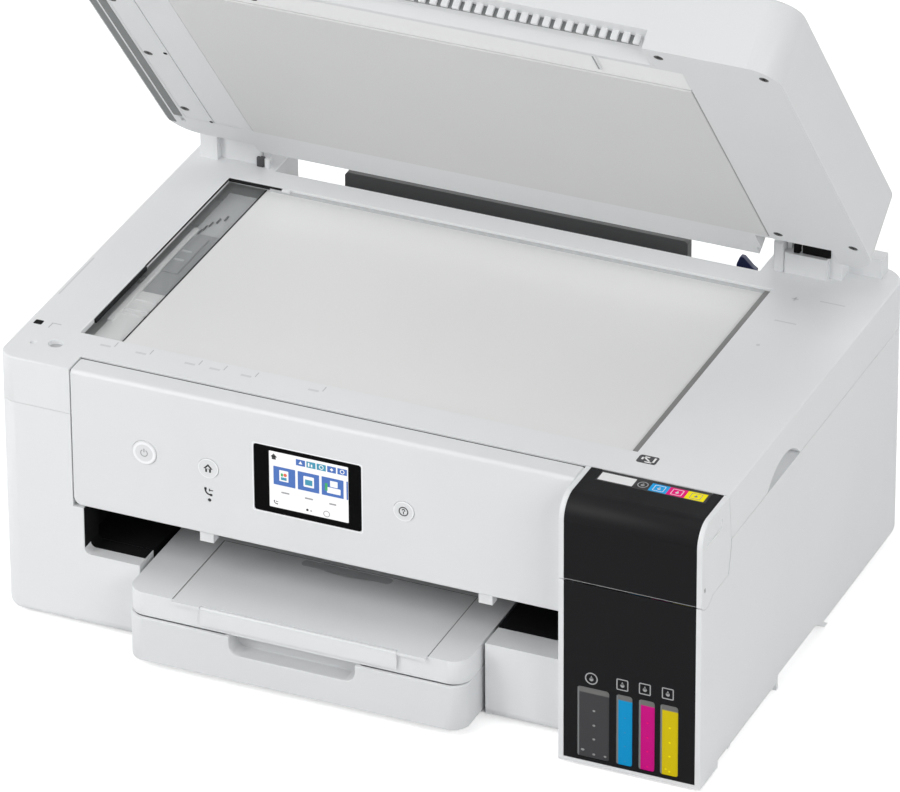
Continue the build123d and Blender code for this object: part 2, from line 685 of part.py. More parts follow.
def make_tank_fascia():
    x0 = tank_left_x + tank_trim + 0.1
    x1 = half_w - tank_trim - 0.1
    fascia = block(x0, x1, tank_front_y + 0.1, tank_front_y + 3, floor_z + 0.2, tank_seam_z - 0.3)
    fascia += block(x0, x1, tank_front_y + 2, tank_wall_y - 0.1, deck_z - 2.5, deck_z)
    fascia -= rod_x(x0 - 1, x1 + 1, tank_axis_y, tank_axis_z, tank_sweep_r + seam_gap)
    for wx0, wx1 in ink_windows:
        fascia -= prism_y(wx0, wx1, tank_front_y - 1, tank_front_y + 4, window_bottom_z, window_top_z, 2)
    for wx0, wx1 in ink_windows:
        fascia -= rod_z((wx0 + wx1) / 2, neck_y, deck_z - 4, deck_z + 1, neck_r + 0.4)
    # the rod that carries the caps, on its posts
    fascia += rod_x(x0 + 6, x1 - 6, cap_axis_y, cap_axis_z, 1.5)
    for post in (11.3, 36.3, 51.7, 66.9, 85.3):
        x = tank_left_x + post
        fascia += block(x - 1.2, x + 1.2, cap_axis_y - 2, cap_axis_y + 2, deck_z - 1, cap_axis_z + 2)
    # slots for the arms that carry the cover
    slot_y = (tank_axis_y + 10.4, tank_axis_y + 15.6)
    fascia -= block(x0 - 1, tank_left_x + 7.9, slot_y[0], slot_y[1], deck_z - 4, deck_z + 1)
    fascia -= block(half_w - 7.9, x1 + 1, slot_y[0], slot_y[1], deck_z - 4, deck_z + 1)
    return fascia


def make_ink_tank_shells():
    shells = []
    for (x0, x1), (wx0, wx1) in zip(ink_shells, ink_windows):
        tank = block(x0, x1, tank_front_y + 3.2, shell_rear_y, floor_z + 0.4, 115)
        tank += prism_y(wx0 + 0.2, wx1 - 0.2, tank_front_y + 0.6, tank_front_y + 4, window_bottom_z + 0.2,
                        window_top_z - 0.2, 1.8)
        tank -= block(x0 + 1.3, x1 - 1.3, tank_front_y + 4.5, shell_rear_y - 1.3, floor_z + 1.7, 113.7)
        mid = (wx0 + wx1) / 2
        tank += rod_z(mid, neck_y, 114, 121, neck_r)
        tank -= rod_z(mid, neck_y, 112, 122, neck_r - 1.2)
        shells.append(tank)
    return group(shells)


def make_ink_fill():
    fills = []
    y0 = tank_front_y + 4.55
    y1 = shell_rear_y - 1.35
    for x0, x1 in ink_shells:
        fills.append(block(x0 + 1.35, x1 - 1.35, y0, y1, floor_z + 1.75, ink_level_z))
    return group(fills)


def cover_solid(inset, x0, x1):
    """The outer form of the tank cover, moved in from its front and its top by inset."""
    y0 = tank_front_y + inset
    z1 = top_z - inset
    points = [(y0, tank_seam_z + 0.2), (y0, z1), (tank_rear_y, z1), (tank_rear_y + tank_cover_bulge, 156),
              (tank_rear_y, 137), (tank_rear_y, tank_seam_z + 0.2)]
    form = profile_x(points, x0, x1)
    return fillet(edges_at(form, Axis.X, Y=y0, Z=z1), tank_edge_r - inset)


def make_tank_cover():
    inner0 = tank_left_x + tank_trim
    inner1 = half_w - tank_trim
    cover = cover_solid(0, tank_left_x, half_w)
    cover -= cover_solid(-1, inner0, inner1) - cover_solid(2.6, inner0, inner1)
    hollow = [(tank_front_y + 4.6, 130), (tank_front_y + 4.6, 165), (tank_front_y + 17, top_z - 4.6),
              (seam_y + 11.5, top_z - 4.6), (seam_y + 11.5, 130)]
    cover -= profile_x(hollow, inner0, inner1)
    # the rounded feet of both cheeks that turn in the housing, with the pivot bores
    for x0, x1 in ((tank_left_x, inner0), (inner1, half_w)):
        foot = rod_x(x0, x1, tank_axis_y, tank_axis_z, tank_sweep_r)
        foot -= block(x0 - 1, x1 + 1, tank_front_y - 9, tank_front_y, tank_axis_z - 15, tank_axis_z + 15)
        cover += foot
    cover -= rod_x(tank_left_x + 1.5, inner0 + 0.1, tank_axis_y, tank_axis_z, 2 + shaft_play)
    cover -= rod_x(inner1 - 0.1, half_w - 1.5, tank_axis_y, tank_axis_z, 2 + shaft_play)
    # shallow finger mark on the right cheek
    mark_at = (half_w - 0.7, tank_front_y + 20, top_z - 12.5)
    mark_plane = Plane(origin=mark_at, x_dir=(0, 1, 0), z_dir=(1, 0, 0))
    return cover - extrude(mark_plane * SlotOverall(28, 7.5), 2)


def make_tank_cover_fascia():
    x0 = tank_left_x + tank_trim + 0.1
    x1 = half_w - tank_trim - 0.1
    skin = cover_solid(0.05, x0, x1) - cover_solid(2.5, x0 - 1, x1 + 1)
    skin -= block(x0 - 1, x1 + 1, tank_front_y + 14, seam_y + 11.5, 130, top_z - 2.6)
    return skin - block(tank_left_x + 11.1, half_w - 10.8, tank_rear_y - 13.5, seam_y + 11.5, top_z - 0.65,
                        top_z + 1)


def make_tank_label():
    y0 = tank_rear_y - 13.3
    y1 = tank_rear_y - 0.1
    return block(tank_left_x + 11.3, half_w - 11, y0, y1, top_z - 0.6, top_z - 0.1)


def make_tank_cap(index):
    wx0, wx1 = ink_windows[index]
    x = (wx0 + wx1) / 2
    cap = rod_z(x, neck_y, deck_z + 1, deck_z + 9, cap_r)
    cap += block(x - 3, x + 3, neck_y, cap_axis_y, cap_axis_z - 1, cap_axis_z + 3)
    cap += rod_x(x - 3, x + 3, cap_axis_y, cap_axis_z, 3)
    cap -= rod_z(x, neck_y, deck_z, 121.4, neck_r + 0.8)
    return cap - rod_x(x - 4, x + 4, cap_axis_y, cap_axis_z, 1.5 + shaft_play)


# Cassette and output tray

def make_paper_cassette():
    x0 = tray_left_x
    x1 = tray_right_x
    tray = prism_z(x0, x1, front_y, front_y + cassette_length, floor_z + 0.2, cassette_top_z, corner_r)
    tray -= prism_z(x0 + 2.5, x1 - 2.5, front_y + 30, front_y + cassette_length - 2.5, 8, 39, 6)
    tray -= prism_z(x0 + 3, x1 - 3, front_y + 3, front_y + 27.5, 8, 39, 9)
    tray += block(tray_mid_x - 48.5, tray_mid_x + 46.5, front_y + 2, front_y + 16, 21, cassette_top_z)
    return tray - prism_y(tray_mid_x - 45, tray_mid_x + 43, front_y - 1, front_y + 13, 25, 60, 7)


def make_cassette_guide(side):
    """One side guide of the cassette; side is -1 for the left one."""
    x = tray_mid_x + side * (tray_width / 2 - 8)
    wall_x = sorted((x, x - side * 2))
    foot_x = sorted((x, x - side * 34))
    guide = block(wall_x[0], wall_x[1], -60, 20, 8.15, cassette_top_z - 3.6)
    guide += block(foot_x[0], foot_x[1], -26 if side < 0 else -12, -14 if side < 0 else 0, 8.15, 9.6)
    grip_x = sorted((x - side * 2, x - side * 14))
    return guide + block(grip_x[0], grip_x[1], -59, -54, 8.15, 26)


def make_output_tray():
    x0 = tray_left_x
    x1 = tray_right_x
    y0 = tank_front_y + 0.8
    y1 = tank_front_y + tray_length
    tray = prism_z(x0, x1, y0, y1, tray_bottom_z, tray_top_z, corner_r)
    tray -= prism_z(x0 + 2.5, x1 - 2.5, y0 + 2.2, y1 - 2.5, tray_bottom_z - 1, tray_top_z - 5.5, 9)
    tray -= block(extension_x[0] - 0.2, extension_x[1] + 0.2, tank_front_y - 1, tank_front_y + 80,
                  tray_top_z - 2.4, tray_top_z + 1)
    # low ribs that carry the sheets
    pitch = (tray_width - 36) / 5
    for i in range(6):
        x = x0 + 18 + pitch * i
        tray += block(x, x + 1.6, tank_front_y + 85, y1 - 13, tray_top_z - 0.5, tray_top_z + 0.8)
    return tray


def make_tray_extension():
    z0 = tray_top_z - 2.3
    z1 = tray_top_z - 0.1
    plate = block(extension_x[0], extension_x[1], tank_front_y + 0.9, tank_front_y + 79.7, z0, z1)
    plate -= rod_z(tray_mid_x + 5, tank_front_y + 126, tray_top_z - 4, tray_top_z + 1, 57)
    for x0, x1 in ((extension_x[0], stopper_x[0] - 0.3), (stopper_x[1] + 0.3, extension_x[1])):
        plate += block(x0, x1, stop_axis_y - 1.2, tank_front_y + 2, z0, z1)
    plate += rod_x(stopper_x[0] - 2, stopper_x[0] + 3, stop_axis_y, stop_axis_z, 0.8)
    plate += rod_x(stopper_x[1] - 3, stopper_x[1] + 2, stop_axis_y, stop_axis_z, 0.8)
    return plate


def make_tray_stopper():
    x0, x1 = stopper_x
    flap = block(x0, x1, stop_axis_y - 1.0, stop_axis_y + 0.7, tray_top_z - 13, stop_axis_z)
    flap += rod_x(x0, x1, stop_axis_y, stop_axis_z, 1.25)
    flap -= rod_x(x0 - 1, x0 + 4, stop_axis_y, stop_axis_z, 0.8 + shaft_play)
    return flap - rod_x(x1 - 4, x1 + 1, stop_axis_y, stop_axis_z, 0.8 + shaft_play)


# Scanner

def make_scanner_frame():
    z0 = unit_bottom_z
    side_x = panel_left_x - seam_gap
    outer = plan_outline(z0, top_z, 0.0)
    outer = fillet(outer.faces().sort_by(Axis.Z)[-1].edges(), 1.2)
    outer -= front_room(frame_front_y, side_x, half_w + 1)
    outer -= block(rear_notch_left_x, rear_notch_right_x, rear_notch_y, rear_y + 1, z0 - 1, top_z + 1)
    inner = plan_outline(z0 - 1, top_z - frame_plate, frame_wall)
    inner -= front_room(frame_front_y + frame_wall, side_x - frame_wall, half_w + 1)
    inner -= block(rear_notch_left_x - frame_wall, rear_notch_right_x + frame_wall,
                   rear_notch_y - frame_wall, rear_y + 1, z0 - 2, top_z)
    frame = outer - inner
    frame -= block(glass_left_x, glass_right_x, glass_front_y, glass_rear_y, top_z - 10, top_z + 1)
    # hand grips in both sides
    for side in (-1, 1):
        xs = sorted((side * half_w, side * (half_w - 11)))
        cut = sorted((side * (half_w + 1), side * (half_w - 8.5)))
        frame += block(xs[0], xs[1], grip_y[0], grip_y[1], z0, 175)
        frame -= rod_x(cut[0], cut[1], -40, 135.35, 36.65)
    # lower rear edge of both lobes stays clear of the case as the unit lifts
    frame -= block(left_x - 1, half_w + 1, rear_y - 14, rear_y + 1, z0 - 1, 164)
    # locating hole, round dimple and small recess at the front left
    frame -= block(left_x + 5.4, left_x + 8.8, seam_y + 27.9, seam_y + 30.3, top_z - 6, top_z + 1)
    frame -= rod_z(left_x + 29.7, seam_y + 8.3, top_z - 2.8, top_z + 1, 5)
    frame -= rod_z(left_x + 15.4, seam_y + 4.0, top_z - 1.5, top_z + 1, 2)
    return frame


def make_scanner_bed():
    z0 = bed_bottom_z
    z1 = z0 + 2.5
    bed_front_y = seam_y + 6.3
    step_x = panel_left_x - seam_gap - frame_wall
    bed = plan_outline(z0, z1, frame_wall)
    bed -= block(step_x, half_w + 1, case_front_y - 1, bed_front_y, z0 - 1, z1 + 1)
    bed -= block(left_x - 1, half_w + 1, rear_notch_y - frame_wall, rear_y + 1, z0 - 1, z1 + 1)
    for side in (-1, 1):
        xs = sorted((side * (half_w + 1), side * (half_w - 11)))
        bed -= block(xs[0], xs[1], grip_y[0], grip_y[1], z0 - 1, z1 + 1)
    y, z = scan_rod_at
    for x0, x1 in ((scan_rod_x[0] - 0.5, scan_rod_x[0] + 5.5), (scan_rod_x[1] - 5.5, scan_rod_x[1] + 0.5)):
        post = block(x0, x1, y - 6, y + 6, z1 - 1, z + 6)
        bed += post - rod_x(x0 - 1, x1 + 1, y, z, 3.0)
    for rail_y in (glass_front_y + 14, glass_rear_y - 22):
        bed += block(left_x + 9, half_w - 49, rail_y, rail_y + 3, z1 - 1, 165)
    return bed


def make_glass(x0, x1):
    """A sheet of glass under the top plate of the frame."""
    z1 = top_z - frame_plate
    return block(x0, x1, glass_front_y - 6, glass_rear_y + 6, z1 - glass_thickness, z1)


def make_platen_glass():
    return make_glass(glass_left_x + strip_width + 0.5, glass_right_x + 6)


def make_feeder_glass():
    return make_glass(glass_left_x - 4, glass_left_x + strip_width - 0.5)


def make_scan_carriage():
    y, z = scan_rod_at
    x0 = glass_left_x + 2.0
    x1 = x0 + 22.0
    y0 = glass_front_y + 6.0
    y1 = glass_rear_y - 4.0
    carriage = block(x0, x1, y0, y1, 166, 182)
    carriage -= block(x0 + 3, x1 - 3, y0 + 4, y1 - 4, 174, 183)
    carriage += block(x0 + 5.5, x0 + 8.5, y0 + 6, y1 - 6, 173, 181)
    carriage += block(x0, x1, y - 7, y + 7, 165.2, 176)
    return carriage - rod_x(x0 - 1, x1 + 1, y, z, 3 + shaft_play)


def make_scan_rod():
    return rod_x(scan_rod_x[0], scan_rod_x[1], scan_rod_at[0], scan_rod_at[1], 3.0)


def make_hinge_brackets():
    y = lid_axis_y
    z = lid_axis_z
    # right: footed block, thin inner ear, rounded outer cheek, raised block beside it
    x = half_w - 75.0
    right = prism_z(x, x + 30.2, y - 13.7, y + 12.3, top_z, 207, 1.5)
    right += block(x + 0.2, x + 3.4, y - 7.7, y + 8.3, 206, z)
    right += rod_x(x + 0.2, x + 3.4, y, z, 8)
    right += block(x + 30, x + 39, y - 9.7, y + 10.3, top_z, z)
    right += rod_x(x + 30, x + 39, y, z, 9)
    right += block(x + 38, x + 62, y + 2.3, y + 14.3, top_z, 206)
    right += rod_x(x + 1, x + 38, y, z, 3)
    # left: post, thin inner ear and a cover plate between them
    x = left_x + 8.0
    left = block(x, x + 12.5, y - 18.7, y + 12.3, top_z, 226)
    left += rod_x(x, x + 12.5, y, z, 8)
    left += block(x, x + 12.5, y - 8, y + 8, 220, z)
    left += block(x + 39.4, x + 42.6, y - 9.7, y + 8.3, top_z, z)
    left += rod_x(x + 39.4, x + 42.6, y, z, 8)
    left += block(x + 12, x + 42, y - 13.7, y - 10.7, top_z, 212)
    left += rod_x(x + 9, x + 42, y, z, 3)
    return group([right, left])


# Lid and document feeder, drawn shut and then turned open

def lid_outline(z0, z1, inset):
    """The plan of the lid, moved in by inset."""
    x0 = -half_w + inset
    x1 = half_w - inset
    outline = prism_z(x0, x1, lid_front_y + inset, lid_rear_y - inset, z0, z1, lid_corner_r - inset)
    outline += block(left_x + 59 + inset, half_w - 83 - inset, lid_rear_y - 30, lid_bump_y - inset, z0, z1)
    notch_y = lid_rear_y - 20.5 - inset
    return outline - block(half_w - 79 - inset, half_w - 26 + inset, notch_y, lid_rear_y + 5, z0 - 1, z1 + 1)


def grip_cut():
    """The finger scoop under the front edge of the lid."""
    y = lid_front_y
    z = lid_under_z
    points = [(y - 1, z - 1), (y + 24.5, z - 1), (y + 24.5, z), (y + 18.5, z + 6), (y + 9.5, z + 11),
              (y - 1, z + 13)]
    return profile_x(points, -grip_half_width, grip_half_width)


def grip_skin():
    """The skin above the finger scoop."""
    y = lid_front_y
    z = lid_under_z
    points = [(y, z + 12.9), (y + 9.5, z + 11), (y + 18.5, z + 6), (y + 24.5, z), (scoop_rear_y, z),
              (scoop_rear_y, z + 3), (y + 20, z + 9), (y + 10, z + 14), (y, z + 16)]
    return profile_x(points, -grip_half_width - 2.5, grip_half_width + 2.5)


def screw_room():
    """Countersunk holes for the lid screws."""
    z = lid_under_z
    room = None
    for x, y in screw_places:
        hole = rod_z(x, y, z - 1, z + 1.6, 3.3) + rod_z(x, y, z, z + 7, 1.55)
        room = hole if room is None else room + hole
    return room


def make_feeder_body():
    z0 = lid_under_z
    outer = lid_outline(z0, lid_top_z, 0.0)
    outer = fillet(outer.faces().sort_by(Axis.Z)[-1].edges(), 2.5)
    body = outer - lid_outline(z0 - 1, lid_top_z - 2.5, lid_wall)
    x0, x1 = bay_x
    y0, y1 = bay_y
    body += block(x0 - 2.5, x1 + 2.5, y0 - 2.5, y1 + 2.5, bay_floor_z - 2.5, lid_top_z - 1)
    body -= block(x0, x1, y0, y1, bay_floor_z, lid_top_z + 1)
    body -= grip_cut()
    body += grip_skin() & lid_outline(z0, lid_top_z, 0.0)
    body -= grip_cut()
    for x in (-grip_half_width - 2.5, grip_half_width):
        body += block(x, x + 2.5, lid_front_y + 1, scoop_rear_y, z0, z0 + 16)
    # roller posts and pins for the two flaps
    rx, rz = roller_at
    for y in (-62.0, 48.0):
        post = block(rx - 7, rx + 7, y, y + 6, bay_floor_z - 1, rz + 7)
        body += post - rod_y(rx, y - 1, y + 7, rz, shaft_r + shaft_play)
    for x in (cover_axis_x, tray_axis_x):
        body += rod_y(x, y0 - 1, y0 + 4, flap_axis_z, 1.2)
        body += rod_y(x, y1 - 4, y1 + 1, flap_axis_z, 1.2)
    # document outlet wall and ribs on the floor of the bay
    for y in (-90.0, -45.0, 0.0, 45.0, 90.0):
        body += block(tray_axis_x + 9.5, bay_x[1] - 10, y - 0.8, y + 0.8, bay_floor_z - 1, bay_floor_z + 2)
    return body


def make_lid_base():
    z = lid_under_z
    plate = lid_outline(z, z + base_plate, lid_wall)
    scoop_x = grip_half_width + 2.6
    plate -= block(-scoop_x, scoop_x, lid_front_y - 1, scoop_rear_y + 0.1, z - 1, z + 8)
    plate -= block(mat_left_x - 0.4, mat_right_x + 0.3, mat_front_y - 0.3, mat_rear_y + 0.3, z - 1, z + 4)
    plate -= block(left_x + 16.3, mat_left_x, mat_front_y - 0.3, mat_rear_y + 0.3, z - 1, z + 3)
    plate -= block(mat_left_x - 0.4, mat_right_x + 1, scoop_rear_y + 1.1, mat_front_y, z - 1, z + 1)
    plate -= block(left_x + 11, left_x + 14.4, lid_front_y + 43.5, lid_rear_y - 16.5, z - 1, z + 1.5)
    return plate - screw_room()


def make_document_mat():
    z = lid_under_z
    mat = prism_z(mat_left_x, mat_right_x, mat_front_y, mat_rear_y, z - 0.4, z + 4, 1)
    return mat


def make_feeder_backing():
    z = lid_under_z
    plate = block(left_x + 16.5, mat_left_x - 0.5, mat_front_y, mat_rear_y, z + 0.1, z + 3)
    plate -= block(left_x + 36.4, left_x + 37.4, mat_front_y - 1, mat_rear_y + 1, z - 1, z + 0.9)
    return plate - screw_room()


def make_lid_screws():
    z = lid_under_z
    screws = []
    for x, y in screw_places:
        screw = rod_z(x, y, z + 0.3, z + 1.6, 3.1) + rod_z(x, y, z + 1.5, z + 9, 1.5)
        screw -= block(x - 2, x + 2, y - 0.4, y + 0.4, z, z + 1.1)
        screw -= block(x - 0.4, x + 0.4, y - 2, y + 2, z, z + 1.1)
        screws.append(screw)
    return group(screws)


def make_lid_hinge_arms():
    x = half_w - 71.0
    right = block(x, x + 25.6, lid_rear_y - 20.5, lid_axis_y, lid_axis_z - 6, lid_axis_z + 6)
    right += rod_x(x, x + 25.6, lid_axis_y, lid_axis_z, 7)
    right -= block(x + 6, x + 19, lid_rear_y - 14.5, lid_rear_y + 9.5, lid_axis_z - 3, lid_axis_z + 7)
    right -= rod_x(x - 1, x + 27, lid_axis_y, lid_axis_z, 3 + shaft_play)
    x = left_x + 21.0
    left = block(x, x + 26, lid_rear_y, lid_axis_y, lid_axis_z - 6, lid_axis_z + 6)
    left += rod_x(x, x + 26, lid_axis_y, lid_axis_z, 7)
    left -= rod_x(x - 1, x + 27, lid_axis_y, lid_axis_z, 3 + shaft_play)
    return group([right, left])


def make_feeder_cover():
    z1 = lid_top_z
    y0 = bay_y[0] + 0.5
    y1 = bay_y[1] - 0.5
    cover = block(bay_x[0] + 1, feed_cover_right_x, y0, y1, z1 - flap_t, z1)
    for y in (-80.0, -40.0, 35.0, 75.0):
        cover += block(cover_axis_x + 21.5, feed_cover_right_x - 16.5, y, y + 2, z1 - 10, z1 - 3)
    cover -= rod_y(cover_axis_x, y0 - 1, y0 + 4.5, flap_axis_z, 1.2 + shaft_play)
    return cover - rod_y(cover_axis_x, y1 - 4.5, y1 + 1, flap_axis_z, 1.2 + shaft_play)


def make_feeder_tray():
    z1 = lid_top_z
    y0 = bay_y[0] + 0.5
    y1 = bay_y[1] - 0.5
    tray = block(feed_tray_left_x, bay_x[1] - 0.5, y0, y1, z1 - flap_t, z1)
    for y in (-70.0, 60.0):
        tray -= block(tray_axis_x + 49.5, tray_axis_x + 149.5, y, y + 6, z1 - 1.5, z1 + 1)
    tray -= prism_z(bay_x[1] - 14, bay_x[1] + 10, -30, 22, z1 - 1.6, z1 + 1, 4)
    tray -= rod_y(tray_axis_x, y0 - 1, y0 + 4.5, flap_axis_z, 1.2 + shaft_play)
    return tray - rod_y(tray_axis_x, y1 - 4.5, y1 + 1, flap_axis_z, 1.2 + shaft_play)


def make_feeder_roller():
    x, z = roller_at
    roller = rod_y(x, -66, 58, z, shaft_r)
    roller += rod_y(x, -26, 12, z, 8)
    return roller + rod_y(x, 55, 59, z, 6)


def build_nodes():
    """Every node by name, in the rest pose."""
    nodes = {
        "lower_case": make_lower_case(),
        "case_feet": make_case_feet(),
        "chassis": make_chassis(),
        "platen": make_platen(),
        "carriage_rod": rod_x(frame_x[0] - 1, frame_x[1] + 1, rod_at[0], rod_at[1], 4.0),
        "carriage_belt": make_carriage_belt(),
        "carriage_motor": make_carriage_motor(),
        "head_cap": make_head_cap(),
        "ink_tubes": make_ink_tubes(),
        "maintenance_box": make_maintenance_box(),
        "main_board": make_main_board(),
        "rear_sockets": make_rear_sockets(),
        "rear_feed_throat": make_rear_feed_throat(),
        "rear_feed_cover": make_rear_feed_cover(),
        "rear_edge_guide": make_rear_edge_guide(),
        "rear_cover": make_rear_cover(),
        "feed_roller": make_roller(feed_at, 7, [(frame_x[0] + 10, frame_x[1] - 9)], 14),
        "exit_roller": make_roller(exit_at, 5, exit_sleeves(), 10),
        "pickup_roller": make_roller(pick_at, 14, [(tray_mid_x - 30, tray_mid_x - 5),
                                                   (tray_mid_x + 5, tray_mid_x + 30)], 9),
        "print_carriage": make_print_carriage(),
        "panel_brackets": make_panel_brackets(),
        "panel_shell": make_panel_shell(),
        "power_button": make_button(*power_at, power_r),
        "home_button": make_button(*home_at, button_r),
        "help_button": make_button(*help_at, button_r),
        "status_lamp": make_status_lamp(),
        "screen_surround": make_screen_surround(),
        "display": make_display(),
        "tank_fascia": make_tank_fascia(),
        "ink_tank_shells": make_ink_tank_shells(),
        "ink_fill": make_ink_fill(),
        "tank_cover": make_tank_cover(),
        "tank_cover_fascia": make_tank_cover_fascia(),
        "tank_label": make_tank_label(),
        "black_tank_cap": make_tank_cap(0),
        "cyan_tank_cap": make_tank_cap(1),
        "magenta_tank_cap": make_tank_cap(2),
        "yellow_tank_cap": make_tank_cap(3),
        "paper_cassette": make_paper_cassette(),
        "cassette_left_guide": make_cassette_guide(-1),
        "cassette_right_guide": make_cassette_guide(1),
        "output_tray": make_output_tray(),
        "tray_extension": make_tray_extension(),
        "tray_stopper": make_tray_stopper(),
        "scanner_frame": make_scanner_frame(),
        "scanner_bed": make_scanner_bed(),
        "platen_glass": make_platen_glass(),
        "feeder_glass": make_feeder_glass(),
        "scan_carriage": make_scan_carriage(),
        "scan_rod": make_scan_rod(),
        "hinge_brackets": make_hinge_brackets(),
    }
    lid_nodes = {
        "feeder_body": make_feeder_body(),
        "lid_base": make_lid_base(),
        "document_mat": make_document_mat(),
        "feeder_backing": make_feeder_backing(),
        "lid_screws": make_lid_screws(),
        "lid_hinge_arms": make_lid_hinge_arms(),
        "feeder_cover": make_feeder_cover(),
        "feeder_tray": make_feeder_tray(),
        "feeder_roller": make_feeder_roller(),
    }
    for name, shape in lid_nodes.items():
        nodes[name] = opened(shape)
    return nodes


def main():
    os.makedirs("parts", exist_ok=True)
    for name, shape in build_nodes().items():
        export_step(shape, f"parts/{name}.step")


if __name__ == "__main__":
    main()
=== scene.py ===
import math

import bmesh
import bpy
from mathutils import Matrix, Vector


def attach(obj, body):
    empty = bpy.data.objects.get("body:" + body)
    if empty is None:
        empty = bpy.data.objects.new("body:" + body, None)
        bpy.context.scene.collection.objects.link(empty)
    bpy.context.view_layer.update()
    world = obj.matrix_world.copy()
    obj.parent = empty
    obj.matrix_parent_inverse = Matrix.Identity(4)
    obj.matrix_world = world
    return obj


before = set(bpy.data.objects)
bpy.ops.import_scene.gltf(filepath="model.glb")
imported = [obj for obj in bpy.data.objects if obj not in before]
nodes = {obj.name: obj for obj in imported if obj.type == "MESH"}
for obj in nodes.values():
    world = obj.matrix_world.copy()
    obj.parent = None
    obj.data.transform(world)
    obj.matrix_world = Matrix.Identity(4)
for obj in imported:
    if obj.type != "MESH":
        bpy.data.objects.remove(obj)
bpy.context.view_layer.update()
MM = 0.001

# Where the main lines of the printer lie, in millimetres
TOP = 192.0
PANEL_FACE = -150.0
BUTTON_FACE = -150.7
DISPLAY_FACE = -149.8
TANK_FACE = -176.9
INK_FACE = -176.4
LABEL_TOP = 191.9
LID_AXIS = (159.7, 229.8)
LID_OPEN = math.radians(51.7)
LID_UNDER = 192.8
MAT_UNDER = 192.4
LINE_PROUD = 0.05
PRINT_PROUD = 0.12
EDGE_ROUND = 0.0006
WIDE_ROUND = 0.0012


# Modelling helpers

def clear_selection():
    if bpy.context.object and bpy.context.object.mode != "OBJECT":
        bpy.ops.object.mode_set(mode="OBJECT")
    bpy.ops.object.select_all(action="DESELECT")


def pick(obj):
    clear_selection()
    obj.select_set(True)
    bpy.context.view_layer.objects.active = obj
    return obj


def settle(obj):
    """Put the object's place, turn and size into its mesh."""
    pick(obj)
    bpy.ops.object.transform_apply(location=True, rotation=True, scale=True)
    return obj


def edit_faces(obj, want):
    """Enter edit mode with only the faces that want accepts selected."""
    pick(obj)
    bpy.ops.object.mode_set(mode="EDIT")
    bpy.ops.mesh.select_mode(type="FACE")
    bpy.ops.mesh.select_all(action="DESELECT")
    mesh = bmesh.from_edit_mesh(obj.data)
    for face in mesh.faces:
        face.select_set(bool(want(face)))
    bmesh.update_edit_mesh(obj.data)


def edit_edges(obj, want):
    """Enter edit mode with only the edges that want accepts selected."""
    pick(obj)
    bpy.ops.object.mode_set(mode="EDIT")
    bpy.ops.mesh.select_mode(type="EDGE")
    bpy.ops.mesh.select_all(action="DESELECT")
    mesh = bmesh.from_edit_mesh(obj.data)
    for edge in mesh.edges:
        edge.select_set(bool(want(edge)))
    bmesh.update_edit_mesh(obj.data)


def done(obj, material, body, smooth=35):
    """Shade a piece, give it its material and fix it to its body."""
    pick(obj)
    bpy.ops.object.shade_smooth_by_angle(angle=math.radians(smooth))
    obj.data.materials.clear()
    obj.data.materials.append(material)
    clear_selection()
    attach(obj, body)
    return obj


def slab(name, x, y, z, soften=0.3, corner=0.0, axis="Z", steps=3):
    """A plate between two corners in mm; corner rounds its outline seen along axis, soften rounds the rest."""
    lo = [min(v) * MM for v in (x, y, z)]
    hi = [max(v) * MM for v in (x, y, z)]
    clear_selection()
    bpy.ops.mesh.primitive_cube_add(size=1, location=[(a + b) / 2 for a, b in zip(lo, hi)])
    obj = bpy.context.object
    obj.name = name
    obj.data.name = name
    obj.scale = [b - a for a, b in zip(lo, hi)]
    settle(obj)
    if corner:
        k = "XYZ".index(axis)
        edit_edges(obj, lambda e: abs((e.verts[0].co - e.verts[1].co).normalized()[k]) > 0.99)
        bpy.ops.mesh.bevel(offset=corner * MM, segments=4, affect="EDGES")
        bpy.ops.object.mode_set(mode="OBJECT")
    if soften:
        edit_edges(obj, lambda e: e.calc_face_angle(0) > math.radians(50))
        bpy.ops.mesh.bevel(offset=soften * MM, segments=steps, affect="EDGES")
        bpy.ops.object.mode_set(mode="OBJECT")
    return obj


def disc(name, centre, radius, depth, axis="Z", soften=0.0, sides=32, squeeze=1.0):
    """A short round or many-sided piece about centre in mm, along an axis."""
    turn = {"X": (0, math.pi / 2, 0), "Y": (math.pi / 2, 0, 0), "Z": (0, 0, 0)}[axis]
    clear_selection()
    bpy.ops.mesh.primitive_cylinder_add(vertices=sides, radius=radius * MM, depth=depth * MM,
                                        location=[v * MM for v in centre], rotation=turn)
    obj = bpy.context.object
    obj.name = name
    obj.data.name = name
    obj.scale = (1, squeeze, 1)
    settle(obj)
    if soften:
        edit_edges(obj, lambda e: e.calc_face_angle(0) > math.radians(50))
        bpy.ops.mesh.bevel(offset=soften * MM, segments=2, affect="EDGES")
        bpy.ops.object.mode_set(mode="OBJECT")
    return obj


def hollow(obj, stroke, axis):
    """Push the middle of a flat piece out, so that a border of the given stroke stays."""
    k = "XYZ".index(axis)
    edit_faces(obj, lambda f: abs(f.normal[k]) > 0.9)
    bpy.ops.mesh.inset(thickness=stroke * MM, depth=0)
    bpy.ops.mesh.bridge_edge_loops()
    bpy.ops.object.mode_set(mode="OBJECT")
    return obj


def ring(name, centre, outer, inner, depth, axis="Y", sides=40):
    return hollow(disc(name, centre, outer, depth, axis, 0, sides), outer - inner, axis)


